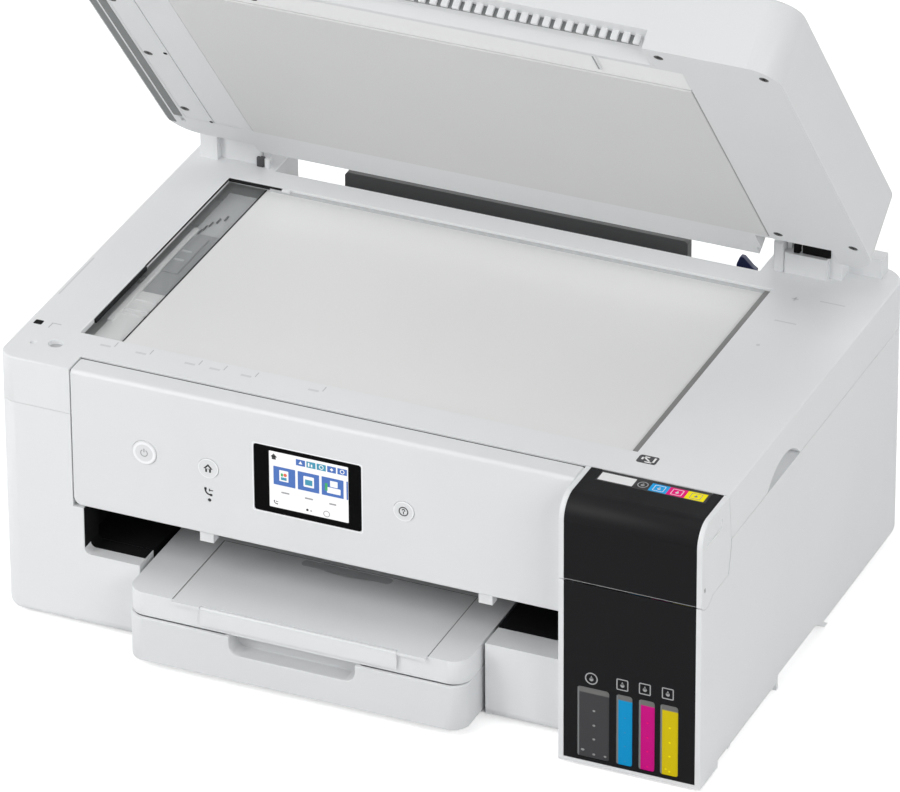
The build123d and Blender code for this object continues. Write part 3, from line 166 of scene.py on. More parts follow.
def arc(name, centre, outer, inner, start, sweep, depth, steps=12):
    """A curved stroke that faces the front: its end is spun round centre from start by sweep degrees."""
    x, y, z = [v * MM for v in centre]
    clear_selection()
    bpy.ops.mesh.primitive_plane_add(size=1, location=(x + (outer + inner) / 2 * MM, y, z))
    obj = bpy.context.object
    obj.name = name
    obj.data.name = name
    obj.scale = ((outer - inner) * MM, depth * MM, 1)
    settle(obj)
    pivot = Matrix.Translation((x, y, z))
    obj.matrix_world = pivot @ Matrix.Rotation(-math.radians(start), 4, "Y") @ pivot.inverted()
    settle(obj)
    bpy.ops.object.mode_set(mode="EDIT")
    bpy.ops.mesh.select_all(action="SELECT")
    bpy.ops.mesh.spin(steps=steps, angle=math.radians(sweep), center=(x, y, z), axis=(0, 1, 0))
    bpy.ops.mesh.select_all(action="SELECT")
    bpy.ops.mesh.remove_doubles(threshold=0.000001)
    bpy.ops.mesh.normals_make_consistent(inside=False)
    bpy.ops.object.mode_set(mode="OBJECT")
    return obj


def join(name, parts):
    clear_selection()
    for part in parts:
        part.select_set(True)
    bpy.context.view_layer.objects.active = parts[0]
    if len(parts) > 1:
        bpy.ops.object.join()
    obj = bpy.context.object
    obj.name = name
    obj.data.name = name
    return obj


def repeat(obj, offsets):
    """Copies of a piece, each with its own mesh, moved by mm offsets; the first stays where it is."""
    copies = [obj]
    for offset in offsets:
        pick(obj)
        bpy.ops.object.duplicate(linked=False)
        copy = bpy.context.object
        copy.location = [v * MM for v in offset]
        settle(copy)
        copies.append(copy)
    return copies


def lid_turn(obj):
    """Turn a piece drawn on the shut lid to the open rest pose."""
    pivot = Matrix.Translation((0, LID_AXIS[0] * MM, LID_AXIS[1] * MM))
    obj.matrix_world = pivot @ Matrix.Rotation(-LID_OPEN, 4, "X") @ pivot.inverted() @ obj.matrix_world
    return settle(obj)


def front_patch(name, x, z, face, proud=PRINT_PROUD, corner=0.4):
    """A thin patch on a face that looks to the front."""
    return slab(name, x, (face - proud, face + 0.1), z, 0, corner, "Y")


def top_patch(name, x, y, face, proud=LINE_PROUD, corner=0.4):
    """A thin patch on a face that looks up."""
    return slab(name, x, y, (face - 0.1, face + proud), 0, corner, "Z")


# Shared surface effects

def group_socket(group, name, kind, way, value=None):
    socket = group.interface.new_socket(name=name, in_out=way, socket_type=kind)
    if value is not None:
        socket.default_value = value
    return socket


def make_mould_grain():
    """Fine moulded texture: a height for the bump, and a slow drift of tone."""
    group = bpy.data.node_groups.new("mould_grain", "ShaderNodeTree")
    group_socket(group, "Vector", "NodeSocketVector", "INPUT")
    group_socket(group, "Grain Scale", "NodeSocketFloat", "INPUT", 1500.0)
    group_socket(group, "Drift Scale", "NodeSocketFloat", "INPUT", 9.0)
    group_socket(group, "Height", "NodeSocketFloat", "OUTPUT")
    group_socket(group, "Drift", "NodeSocketFloat", "OUTPUT")
    n = group.nodes
    link = group.links.new
    start = n.new("NodeGroupInput")
    end = n.new("NodeGroupOutput")
    grain = n.new("ShaderNodeTexNoise")
    grain.inputs["Detail"].default_value = 3
    cells = n.new("ShaderNodeTexVoronoi")
    cells.feature = "SMOOTH_F1"
    mix = n.new("ShaderNodeMix")
    mix.data_type = "FLOAT"
    mix.inputs[0].default_value = 0.4
    drift = n.new("ShaderNodeTexNoise")
    drift.inputs["Detail"].default_value = 2
    for texture in (grain, cells, drift):
        link(start.outputs["Vector"], texture.inputs["Vector"])
    link(start.outputs["Grain Scale"], grain.inputs["Scale"])
    link(start.outputs["Grain Scale"], cells.inputs["Scale"])
    link(start.outputs["Drift Scale"], drift.inputs["Scale"])
    link(grain.outputs["Fac"], mix.inputs[2])
    link(cells.outputs["Distance"], mix.inputs[3])
    link(mix.outputs[0], end.inputs["Height"])
    link(drift.outputs["Fac"], end.inputs["Drift"])
    return group


def make_ink_colour():
    """The four ink colours side by side across the tank, and how far above the ink line a point is."""
    group = bpy.data.node_groups.new("ink_colour", "ShaderNodeTree")
    group_socket(group, "Vector", "NodeSocketVector", "INPUT")
    group_socket(group, "Level", "NodeSocketFloat", "INPUT", 0.0553)
    group_socket(group, "Ink", "NodeSocketColor", "OUTPUT")
    group_socket(group, "Above", "NodeSocketFloat", "OUTPUT")
    n = group.nodes
    link = group.links.new
    start = n.new("NodeGroupInput")
    end = n.new("NodeGroupOutput")
    split = n.new("ShaderNodeSeparateXYZ")
    link(start.outputs["Vector"], split.inputs[0])
    across = n.new("ShaderNodeMapRange")
    across.inputs["From Min"].default_value = 0.160
    across.inputs["From Max"].default_value = 0.240
    link(split.outputs["X"], across.inputs["Value"])
    ramp = n.new("ShaderNodeValToRGB")
    ramp.color_ramp.interpolation = "CONSTANT"
    inks = ((0.0, (0.055, 0.055, 0.058)), (0.384, (0.0, 0.30, 0.62)), (0.561, (0.60, 0.0, 0.22)),
            (0.751, (0.68, 0.53, 0.0)))
    for place, colour in inks[2:]:
        ramp.color_ramp.elements.new(place)
    for stop, (place, colour) in zip(ramp.color_ramp.elements, inks):
        stop.position = place
        stop.color = (*colour, 1)
    link(across.outputs[0], ramp.inputs[0])
    link(ramp.outputs[0], end.inputs["Ink"])
    over = n.new("ShaderNodeMath")
    over.operation = "SUBTRACT"
    link(split.outputs["Z"], over.inputs[0])
    link(start.outputs["Level"], over.inputs[1])
    edge = n.new("ShaderNodeMapRange")
    edge.inputs["From Min"].default_value = -0.0004
    edge.inputs["From Max"].default_value = 0.0004
    link(over.outputs[0], edge.inputs["Value"])
    link(edge.outputs[0], end.inputs["Above"])
    return group


mould_grain = make_mould_grain()
ink_colour = make_ink_colour()


def shade(name, colour, roughness=0.45, grain=0.05, grain_scale=1500.0, drift=0.03, coat=0.0, metallic=0.0,
          specular=0.5, rough_drift=0.06, glow=0.0, alpha=1.0):
    """A moulded, painted or lit surface with fine grain, slow tone drift and slightly uneven gloss."""
    material = bpy.data.materials.new(name)
    material.use_nodes = True
    n = material.node_tree.nodes
    link = material.node_tree.links.new
    bsdf = n["Principled BSDF"]
    bsdf.inputs["Metallic"].default_value = metallic
    bsdf.inputs["Coat Weight"].default_value = coat
    bsdf.inputs["Specular IOR Level"].default_value = specular
    bsdf.inputs["Alpha"].default_value = alpha
    place = n.new("ShaderNodeTexCoord")
    effect = n.new("ShaderNodeGroup")
    effect.node_tree = mould_grain
    effect.inputs["Grain Scale"].default_value = grain_scale
    link(place.outputs["Object"], effect.inputs["Vector"])
    tone = n.new("ShaderNodeMix")
    tone.data_type = "RGBA"
    tone.inputs[6].default_value = [c * (1 - drift) for c in colour] + [1]
    tone.inputs[7].default_value = [min(1, c * (1 + drift)) for c in colour] + [1]
    link(effect.outputs["Drift"], tone.inputs[0])
    if glow:
        bsdf.inputs["Base Color"].default_value = (0.01, 0.01, 0.01, 1)
        bsdf.inputs["Emission Strength"].default_value = glow
        link(tone.outputs[2], bsdf.inputs["Emission Color"])
    else:
        link(tone.outputs[2], bsdf.inputs["Base Color"])
    gloss = n.new("ShaderNodeMapRange")
    gloss.inputs["To Min"].default_value = roughness - rough_drift
    gloss.inputs["To Max"].default_value = roughness + rough_drift
    link(effect.outputs["Drift"], gloss.inputs["Value"])
    link(gloss.outputs[0], bsdf.inputs["Roughness"])
    bump = n.new("ShaderNodeBump")
    bump.inputs["Strength"].default_value = grain
    bump.inputs["Distance"].default_value = 0.0002
    link(effect.outputs["Height"], bump.inputs["Height"])
    link(bump.outputs["Normal"], bsdf.inputs["Normal"])
    return material


def make_tank_plastic(name, empty, window):
    """Clear tank plastic that takes the colour of the ink behind it, pale above the ink line."""
    material = shade(name, (0.5, 0.5, 0.5), 0.35, 0.04, 700, specular=0.15)
    n = material.node_tree.nodes
    link = material.node_tree.links.new
    bsdf = n["Principled BSDF"]
    place = next(node for node in n if node.bl_idname == "ShaderNodeTexCoord")
    inks = n.new("ShaderNodeGroup")
    inks.node_tree = ink_colour
    link(place.outputs["Object"], inks.inputs["Vector"])
    body = n.new("ShaderNodeGroup")
    body.node_tree = ink_colour
    body.inputs["Level"].default_value = 0.061
    link(place.outputs["Object"], body.inputs["Vector"])
    band = n.new("ShaderNodeMix")
    band.data_type = "RGBA"
    band.inputs[7].default_value = (*window, 1)
    link(inks.outputs["Above"], band.inputs[0])
    link(inks.outputs["Ink"], band.inputs[6])
    shell = n.new("ShaderNodeMix")
    shell.data_type = "RGBA"
    shell.inputs[7].default_value = (*empty, 1)
    link(body.outputs["Above"], shell.inputs[0])
    link(band.outputs[2], shell.inputs[6])
    link(shell.outputs[2], bsdf.inputs["Base Color"])
    return material


white_case = shade("white_case", (0.80, 0.81, 0.82), 0.42, 0.12)
white_panel = shade("white_panel", (0.775, 0.785, 0.795), 0.36, 0.05)
# a darker copy of the case white for the lid: the lid's shade painted into its colour
shaded_lid_white = shade("shaded_lid_white", (0.745, 0.755, 0.765), 0.45, 0.12)
white_tray = shade("white_tray", (0.79, 0.80, 0.81), 0.42, 0.12)
white_cassette = shade("white_cassette", (0.73, 0.74, 0.75), 0.42, 0.12)
# a darker copy of the case white: painted shade on the scanner bed, on the moulded and raised signs of the top, and on
# a line at the frame's left edge
shaded_white = shade("shaded_white", (0.66, 0.67, 0.68), 0.5, 0.10)
# a brighter copy of the case white: painted light on the lip round the glass, on the mat's front channel and on the
# pale tray of the scan carriage
brightened_white = shade("brightened_white", (0.90, 0.90, 0.90), 0.5, 0.06)
mat_film = shade("mat_film", (0.68, 0.68, 0.68), 0.6, 0.03, 900)
bed_tone = shade("bed_tone", (0.80, 0.80, 0.795), 0.3, 0.0, drift=0.01, specular=0.3)
clear_glass = shade("clear_glass", (0.62, 0.64, 0.64), 0.05, 0.0, drift=0.01, rough_drift=0.02, alpha=0.14)
black_satin = shade("black_satin", (0.006, 0.006, 0.007), 0.42, 0.15, 1800, specular=0.14)
black_gloss = shade("black_gloss", (0.002, 0.002, 0.0024), 0.22, 0.0, specular=0.05)
black_matte = shade("black_matte", (0.004, 0.004, 0.0045), 0.85, 0.1, specular=0.15)
deep_shadow = shade("deep_shadow", (0.012, 0.012, 0.013), 0.8, 0.1, specular=0.2)
dark_grey = shade("dark_grey", (0.06, 0.06, 0.065), 0.5, 0.15)
bar_grey = shade("bar_grey", (0.105, 0.107, 0.108), 0.5, 0.12)
mid_grey = shade("mid_grey", (0.30, 0.31, 0.32), 0.5, 0.1)
light_grey = shade("light_grey", (0.52, 0.53, 0.54), 0.5, 0.1)
# grey for painted shade in the lid's edge grooves and between the scoop ribs, and for the grey rims in the tank
# windows
groove_shade_and_rim_grey = shade("groove_shade_and_rim_grey", (0.19, 0.20, 0.20), 0.5, 0.1)
# the grey of the seal tape at the glass, also painted shade in the tray's extension lines and in the slot on the tank
# cover
tape_and_shade_grey = shade("tape_and_shade_grey", (0.23, 0.23, 0.225), 0.45, 0.08)
rubber_black = shade("rubber_black", (0.012, 0.012, 0.012), 0.75, 0.2)
zinc_sheet = shade("zinc_sheet", (0.55, 0.56, 0.57), 0.38, 0.06, 400, metallic=0.9)
bright_rod = shade("bright_rod", (0.62, 0.62, 0.63), 0.22, 0.02, metallic=1.0)
screw_steel = shade("screw_steel", (0.10, 0.10, 0.10), 0.35, 0.04, 600, metallic=0.9)
board_green = shade("board_green", (0.01, 0.10, 0.04), 0.4, 0.1)
blue_plastic = shade("blue_plastic", (0.012, 0.02, 0.08), 0.4, 0.1)
tube_clear = shade("tube_clear", (0.45, 0.46, 0.46), 0.3, 0.02, coat=0.3)
tank_plastic = make_tank_plastic("tank_plastic", (0.50, 0.51, 0.50), (0.17, 0.17, 0.165))
ink_liquid = make_tank_plastic("ink_liquid", (0.05, 0.05, 0.05), (0.06, 0.06, 0.06))
cap_black = shade("cap_black", (0.02, 0.02, 0.021), 0.45, 0.1)
cap_cyan = shade("cap_cyan", (0.0, 0.26, 0.56), 0.4, 0.1)
cap_magenta = shade("cap_magenta", (0.56, 0.0, 0.22), 0.4, 0.1)
cap_yellow = shade("cap_yellow", (0.66, 0.53, 0.0), 0.4, 0.1)
print_black = shade("print_black", (0.015, 0.015, 0.016), 0.5, 0.02)
print_grey = shade("print_grey", (0.30, 0.30, 0.30), 0.5, 0.02)
print_pale = shade("print_pale", (0.40, 0.40, 0.41), 0.5, 0.02)
print_white = shade("print_white", (0.84, 0.84, 0.84), 0.45, 0.02)
print_cyan = shade("print_cyan", (0.012, 0.37, 0.80), 0.5, 0.02, specular=0.15)
print_magenta = shade("print_magenta", (0.84, 0.003, 0.21), 0.5, 0.02, specular=0.15)
print_yellow = shade("print_yellow", (0.97, 0.84, 0.0), 0.5, 0.02, specular=0.15)
# glow for the power light, and a painted highlight on the home and help button rims and on the lip round the screen
power_light_and_rim_highlight = shade("power_light_and_rim_highlight", (0.95, 0.96, 0.99), 0.3, 0.02, glow=0.93)
lit_white = shade("lit_white", (0.98, 0.98, 0.99), 0.2, 0.0, drift=0.015, coat=0.3, glow=1.0)
lit_blue = shade("lit_blue", (0.045, 0.15, 0.50), 0.2, 0.0, drift=0.05, coat=0.3, glow=1.0)
lit_teal = shade("lit_teal", (0.03, 0.30, 0.45), 0.2, 0.0, drift=0.05, coat=0.3, glow=1.0)
lit_green = shade("lit_green", (0.02, 0.42, 0.10), 0.2, 0.0, drift=0.05, coat=0.3, glow=1.0)
lit_orange = shade("lit_orange", (0.80, 0.13, 0.06), 0.2, 0.0, drift=0.05, coat=0.3, glow=1.0)
lit_dark = shade("lit_dark", (0.02, 0.02, 0.022), 0.2, 0.0, drift=0.05, coat=0.3, glow=1.0)
lit_grey = shade("lit_grey", (0.34, 0.34, 0.35), 0.2, 0.0, drift=0.05, coat=0.3, glow=1.0)

looks = {
    "lower_case": white_case, "case_feet": rubber_black, "chassis": zinc_sheet, "platen": black_matte,
    "carriage_rod": bright_rod, "carriage_belt": rubber_black, "carriage_motor": dark_grey,
    "head_cap": mid_grey, "ink_tubes": tube_clear, "maintenance_box": dark_grey, "main_board": board_green,
    "rear_sockets": dark_grey, "rear_feed_throat": black_matte, "rear_feed_cover": bar_grey,
    "rear_edge_guide": blue_plastic, "rear_cover": white_case, "feed_roller": bright_rod,
    "exit_roller": rubber_black, "pickup_roller": rubber_black, "print_carriage": dark_grey,
    "panel_brackets": mid_grey, "panel_shell": white_panel, "power_button": white_panel,
    "home_button": white_panel, "help_button": white_panel, "status_lamp": print_black,
    "screen_surround": black_gloss, "display": lit_white, "tank_fascia": black_satin,
    "ink_tank_shells": tank_plastic, "ink_fill": ink_liquid, "tank_cover": white_case,
    "tank_cover_fascia": black_satin, "tank_label": print_black, "black_tank_cap": cap_black,
    "cyan_tank_cap": cap_cyan, "magenta_tank_cap": cap_magenta, "yellow_tank_cap": cap_yellow,
    "paper_cassette": white_cassette, "cassette_left_guide": light_grey, "cassette_right_guide": light_grey,
    "output_tray": white_tray, "tray_extension": white_tray, "tray_stopper": white_tray,
    "scanner_frame": white_case, "scanner_bed": shaded_white, "platen_glass": bed_tone,
    "feeder_glass": clear_glass, "scan_carriage": light_grey, "scan_rod": bright_rod,
    "hinge_brackets": white_case, "feeder_body": shaded_lid_white, "lid_base": shaded_lid_white,
    "document_mat": mat_film, "feeder_backing": shaded_lid_white, "lid_screws": screw_steel,
    "lid_hinge_arms": dark_grey, "feeder_cover": shaded_lid_white, "feeder_tray": shaded_lid_white,
    "feeder_roller": rubber_black,
}


soft_edged = ("output_tray", "paper_cassette", "hinge_brackets")


def dress_cad():
    """Give every carried-over node its finish and a fine rounding of its sharp edges."""
    for name, material in looks.items():
        node = nodes[name]
        node.data.materials.clear()
        node.data.materials.append(material)
        weld = node.modifiers.new("weld", "WELD")
        weld.merge_threshold = 0.000002
        flat = node.modifiers.new("flat_faces", "DECIMATE")
        flat.decimate_type = "DISSOLVE"
        flat.angle_limit = math.radians(1)
        edge = node.modifiers.new("edge_round", "BEVEL")
        edge.limit_method = "ANGLE"
        edge.angle_limit = math.radians(32)
        edge.width = WIDE_ROUND if name in soft_edged else EDGE_ROUND
        edge.segments = 2
        edge.harden_normals = True
        edge.use_clamp_overlap = True


# Signs that more than one place uses

def house(name, x, z, face, size):
    roof = disc(name + "_roof", (x, face, z + 0.16 * size), 0.62 * size, 0.24, "Y", 0, 3, 0.62)
    walls = front_patch(name + "_walls", (x - 0.33 * size, x + 0.33 * size), (z - 0.46 * size, z + 0.14 * size),
                        face, 0.12, 0.05 * size)
    return join(name, [roof, walls])


def handset(name, x, z, face, size):
    """A telephone receiver with two short rays beside it."""
    bow = arc(name + "_bow", (x + 0.12 * size, face, z + 0.14 * size), 0.58 * size, 0.42 * size, 165, 120, 0.24)
    ear = front_patch(name + "_ear", (x - 0.50 * size, x - 0.24 * size), (z + 0.12 * size, z + 0.40 * size), face)
    mouth = front_patch(name + "_mouth", (x + 0.10 * size, x + 0.38 * size), (z - 0.50 * size, z - 0.24 * size), face)
    ray = front_patch(name + "_ray", (x + 0.02 * size, x + 0.46 * size), (z + 0.10 * size, z + 0.20 * size), face,
                      corner=0.1)
    tip = front_patch(name + "_tip", (x + 0.02 * size, x + 0.12 * size), (z + 0.02 * size, z + 0.32 * size), face,
                      corner=0.1)
    return join(name, [bow, ear, mouth, ray, tip])


def front_drop(name, x, z, face, size):
    """An ink drop on a face that looks to the front."""
    bulb = disc(name + "_bulb", (x, face, z - 0.12 * size), 0.34 * size, 0.24, "Y", 0, 20)
    tip = disc(name + "_tip", (x, face, z + 0.16 * size), 0.33 * size, 0.24, "Y", 0, 3, 1.15)
    return join(name, [bulb, tip])


def top_drop(name, x, y, face, size):
    """An ink drop on a face that looks up."""
    bulb = disc(name + "_bulb", (x, y - 0.12 * size, face), 0.34 * size, 0.14, "Z", 0, 20)
    tip = disc(name + "_tip", (x, y + 0.16 * size, face), 0.33 * size, 0.14, "Z", 0, 3, 1.15)
    return join(name, [bulb, tip])


# Control panel

def make_panel_signs():
    power = (-145.2, 142.5)
    glow = ring("power_glow_ring", (power[0], BUTTON_FACE - 0.05, power[1]), 7.7, 6.2, 0.3)
    done(glow, power_light_and_rim_highlight, "power_button")
    sign = join("power_sign", [
        arc("power_arc", (power[0], BUTTON_FACE, power[1]), 2.7, 2.05, 120, 300, 0.24),
        front_patch("power_bar", (power[0] - 0.35, power[0] + 0.35), (power[1] + 0.6, power[1] + 3.2), BUTTON_FACE,
                    corner=0.2)])
    done(sign, print_pale, "power_button")
    home = (-100.2, 141.4)
    # the glowing rims on the home and help buttons are a painted highlight
    done(ring("home_rim_highlight", (home[0], BUTTON_FACE - 0.02, home[1]), 6.95, 6.45, 0.22), power_light_and_rim_highlight, "home_button")
    done(house("home_sign", home[0], home[1], BUTTON_FACE, 6.0), print_black, "home_button")
    done(front_patch("home_sign_door", (home[0] - 0.7, home[0] + 0.7), (home[1] - 2.8, home[1] - 0.4), BUTTON_FACE,
                     0.18, 0.1), white_panel, "home_button")
    inner = disc("home_sign_inside", (home[0], BUTTON_FACE, home[1] + 0.5), 2.0, 0.34, "Y", 0, 3, 0.6)
    done(inner, white_panel, "home_button")
    ask = (35.6, 141.3)
    done(ring("help_rim_highlight", (ask[0], BUTTON_FACE - 0.02, ask[1]), 6.95, 6.45, 0.22), power_light_and_rim_highlight, "help_button")
    sign = join("help_sign", [
        ring("help_circle", (ask[0], BUTTON_FACE, ask[1]), 3.3, 2.65, 0.24),
        arc("help_hook", (ask[0], BUTTON_FACE, ask[1] + 0.7), 1.2, 0.62, 180, -220, 0.24),
        front_patch("help_stem", (ask[0] - 0.3, ask[0] + 0.3), (ask[1] - 0.95, ask[1] - 0.1), BUTTON_FACE, corner=0.1),
        disc("help_dot", (ask[0], BUTTON_FACE, ask[1] - 1.6), 0.4, 0.24, "Y", 0, 12)])
    done(sign, print_black, "help_button")
    done(handset("line_sign", -100.3, 124.2, PANEL_FACE, 6.4), print_black, "control_panel")
    # painted highlight: a thin glowing lip that frames the screen; painted shade: a dark sheet in the gap between
    # panel and tank
    lip_highlight = hollow(front_patch("screen_lip_highlight", (-69.4, 7.2), (117.9, 168.3), PANEL_FACE, 0.1, 1.2), 0.75, "Y")
    done(lip_highlight, power_light_and_rim_highlight, "control_panel")
    done(slab("panel_right_shadow", (152.36, 152.44), (-149.0, -134.0), (93.0, 190.5), 0, 0.03, "Y"), deep_shadow,
         "control_panel")


def make_display():
    face = DISPLAY_FACE
    tiles = [front_patch("tile_" + str(k), x, (140.2, 153.6), face, 0.06, 0.3)
             for k, x in enumerate(((-54.8, -39.6), (-37.9, -23.0), (-21.3, -6.1), (-4.1, -3.1)))]
    done(join("display_tiles", tiles), lit_blue, "control_panel")
    row = [front_patch("mark_" + str(k), x, (157.6, 162.1), face, 0.06, 0.2)
           for k, x in enumerate(((-39.0, -32.6), (-17.3, -11.2), (-10.2, -3.6)))]
    done(join("display_status_row", row), lit_blue, "control_panel")
    done(join("display_status_inks", [front_patch("mark_3", (-31.7, -25.4), (157.6, 162.1), face, 0.06, 0.2),
                                      front_patch("mark_4", (-24.6, -18.2), (157.6, 162.1), face, 0.06, 0.2)]),
         lit_teal, "control_panel")
    pale = [disc("bell", (-35.8, face, 159.7), 1.5, 0.2, "Y", 0, 3),
            front_patch("drops_1", (-30.6, -29.6), (158.5, 161.2), face, 0.1, 0.1),
            front_patch("drops_2", (-28.6, -27.6), (158.5, 160.4), face, 0.1, 0.1),
            ring("net", (-21.4, face, 159.9), 1.6, 1.1, 0.2, "Y", 20),
            disc("sound", (-14.2, face, 159.8), 1.2, 0.2, "Y", 0, 4),
            ring("clock", (-6.9, face, 159.9), 1.6, 1.1, 0.2, "Y", 20),
            front_patch("page_1", (-50.7, -44.4), (143.4, 151.4), face, 0.1, 0.3),
            front_patch("page_2", (-33.9, -26.6), (143.2, 151.0), face, 0.1, 0.5),
            front_patch("page_3", (-15.4, -10.2), (147.2, 151.6), face, 0.1, 0.3),
            front_patch("page_3_feed", (-17.6, -8.2), (142.4, 146.6), face, 0.1, 0.4)]
    done(join("display_pale_signs", pale), lit_white, "control_panel")
    teal = [front_patch("picture_1", (-49.6, -45.6), (144.4, 146.4), face, 0.14, 0.1),
            front_patch("picture_2", (-32.8, -27.7), (144.6, 148.6), face, 0.14, 0.2)]
    done(join("display_teal_signs", teal), lit_teal, "control_panel")
    done(join("display_green_signs", [front_patch("leaf", (-49.6, -48.1), (147.0, 149.2), face, 0.14, 0.1),
                                      front_patch("copy_arrow", (-19.0, -17.2), (143.8, 149.2), face, 0.14, 0.3)]),
         lit_green, "control_panel")
    done(disc("display_orange_sign", (-46.6, face, 148.3), 1.25, 0.28, "Y", 0, 16), lit_orange, "control_panel")
    dark = [house("menu_house", -54.4, 160.2, face, 4.2), disc("page_dot", (-31.5, face, 126.4), 0.85, 0.2, "Y"),
            handset("menu_phone", -53.2, 127.2, face, 3.2)]
    done(join("display_dark_signs", dark), lit_dark, "control_panel")
    words = [front_patch("words_" + str(k), x, z, face, 0.06, 0.25)
             for k, (x, z) in enumerate((((-49.5, -43.9), (134.6, 135.7)), ((-33.1, -27.5), (134.3, 135.4)),
                                         ((-16.2, -11.4), (134.0, 135.1))))]
    grey = words + [ring("stop_ring", (-18.1, face, 126.5), 2.3, 1.8, 0.14), disc("next_dot", (-28.9, face, 126.2),
                                                                                  0.6, 0.14, "Y", 0, 16)]
    done(join("display_grey_signs", grey), lit_grey, "control_panel")


# Paper mouth and trays

def make_mouth_shade():
    """Black sheets that paint the shade of the inner walls behind the ledge, where the sheets come out."""
    walls = [slab("cheek", (-190.0, -189.75), (-149.3, -129.1), (61.2, 90.6), 0, 0.1, "X"),
             slab("ledge_rear", (-186.0, -151.4), (-140.5, -128.8), (57.0, 57.22), 0, 0.05, "Z"),
             arc("ledge_corner", (-186.0, -134.8, 61.0), 4.0, 3.75, 180, 90, 11.6),
             slab("cheek_back", (-197.2, -190.2), (-128.95, -128.6), (57.2, 91.6), 0, 0.1, "Y"),
             slab("left", (-197.38, -196.9), (-129.0, -62), (57.2, 91.6), 0, 0.1, "X"),
             slab("left_floor", (-197.2, -151.2), (-128.4, -62), (57.0, 57.4), 0, 0.1, "Z"),
             slab("right_floor", (91.2, 152.2), (-128.4, -62), (57.0, 57.4), 0, 0.1, "Z"),
             slab("left_back", (-197.2, -148.4), (-62.4, -61.8), (57.2, 84.0), 0, 0.1, "Y"),
             slab("right_back", (88.4, 152.2), (-62.4, -61.8), (57.2, 84.0), 0, 0.1, "Y"),
             slab("left_ledge_edge", (-151.9, -151.1), (-128.4, -62), (40.0, 57.2), 0, 0.1, "X"),
             slab("right_ledge_edge", (91.1, 91.9), (-128.4, -62), (40.0, 57.2), 0, 0.1, "X")]
    # painted shade: black sheets where the mouth's inside is dark
    done(join("mouth_shade", walls), black_matte, "base")


def make_tray_lines():
    """The painted shadow lines where the extension lies in the tray, and painted shade in its finger notch."""
    long_lines = [top_patch("line_" + str(k), x, (-176.0, -96.8), 55.0, 0.03, 0.1)
                  for k, x in enumerate(((-115.75, -115.15), (62.55, 63.15)))]
    long_lines.append(top_patch("line_back", (-115.75, 63.15), (-97.2, -96.75), 55.0, 0.03, 0.1))
    done(join("tray_shadow_lines", long_lines), tape_and_shade_grey, "output_tray")
    done(top_patch("extension_notch_shade", (-58.0, 5.0), (-105.4, -98.0), 54.9, 0.03, 3.0), light_grey, "tray_extension")


# Ink tank

def make_tank_signs():
    windows = ((165.5, 187.3), (192.0, 203.0), (207.2, 218.2), (221.7, 234.0))
    badge_x = (175.2, 196.2, 211.4, 226.9)
    badge_z = (66.6, 67.0, 67.6, 68.0)
    marks = [ring("badge_ring_0", (badge_x[0], TANK_FACE - 0.02, badge_z[0]), 4.3, 3.55, 0.24)]
    marks += [hollow(front_patch("badge_frame_" + str(k), (badge_x[k] - 4.0, badge_x[k] + 4.0),
                                 (badge_z[k] - 4.1, badge_z[k] + 4.1), TANK_FACE, 0.1, 0.9), 0.7, "Y")
              for k in (1, 2, 3)]
    marks += [front_drop("badge_drop_" + str(k), badge_x[k], badge_z[k], TANK_FACE, 4.0) for k in range(4)]
    done(join("window_badges", marks), print_pale, "base")
    # grey inner rim at the left of each window, and the raised level marks
    rims = [front_patch("window_rim_" + str(k), (x0, x0 + 1.3), (7.9, 58.6), INK_FACE, 0.1, 0.3)
            for k, (x0, x1) in enumerate(windows)]
    done(join("window_rims", rims), groove_shade_and_rim_grey, "base")
    for k, material in enumerate((print_grey, cap_cyan, print_magenta, print_yellow)):
        x = (176.8, 197.9, 213.2, 228.2)[k]
        dots = [disc("level_" + str(z), (x, INK_FACE, z), 0.75 if k else 0.95, 0.3, "Y", 0, 12, 0.75)
                for z in (42.8, 32.0, 21.8, 10.6)]
        if k == 0:
            dots += [disc("corner_mark", (x - 7.6, INK_FACE, 12.6), 1.2, 0.3, "Y", 0, 12, 0.7),
                     disc("corner_mark_2", (x + 7.7, INK_FACE, 10.8), 0.9, 0.3, "Y", 0, 12, 0.7)]
        if k == 3:
            dots.append(disc("corner_mark", (x - 2.6, INK_FACE, 12.0), 0.7, 0.3, "Y", 0, 12, 0.75))
        done(join(("black", "cyan", "magenta", "yellow")[k] + "_level_marks", dots), material, "base")


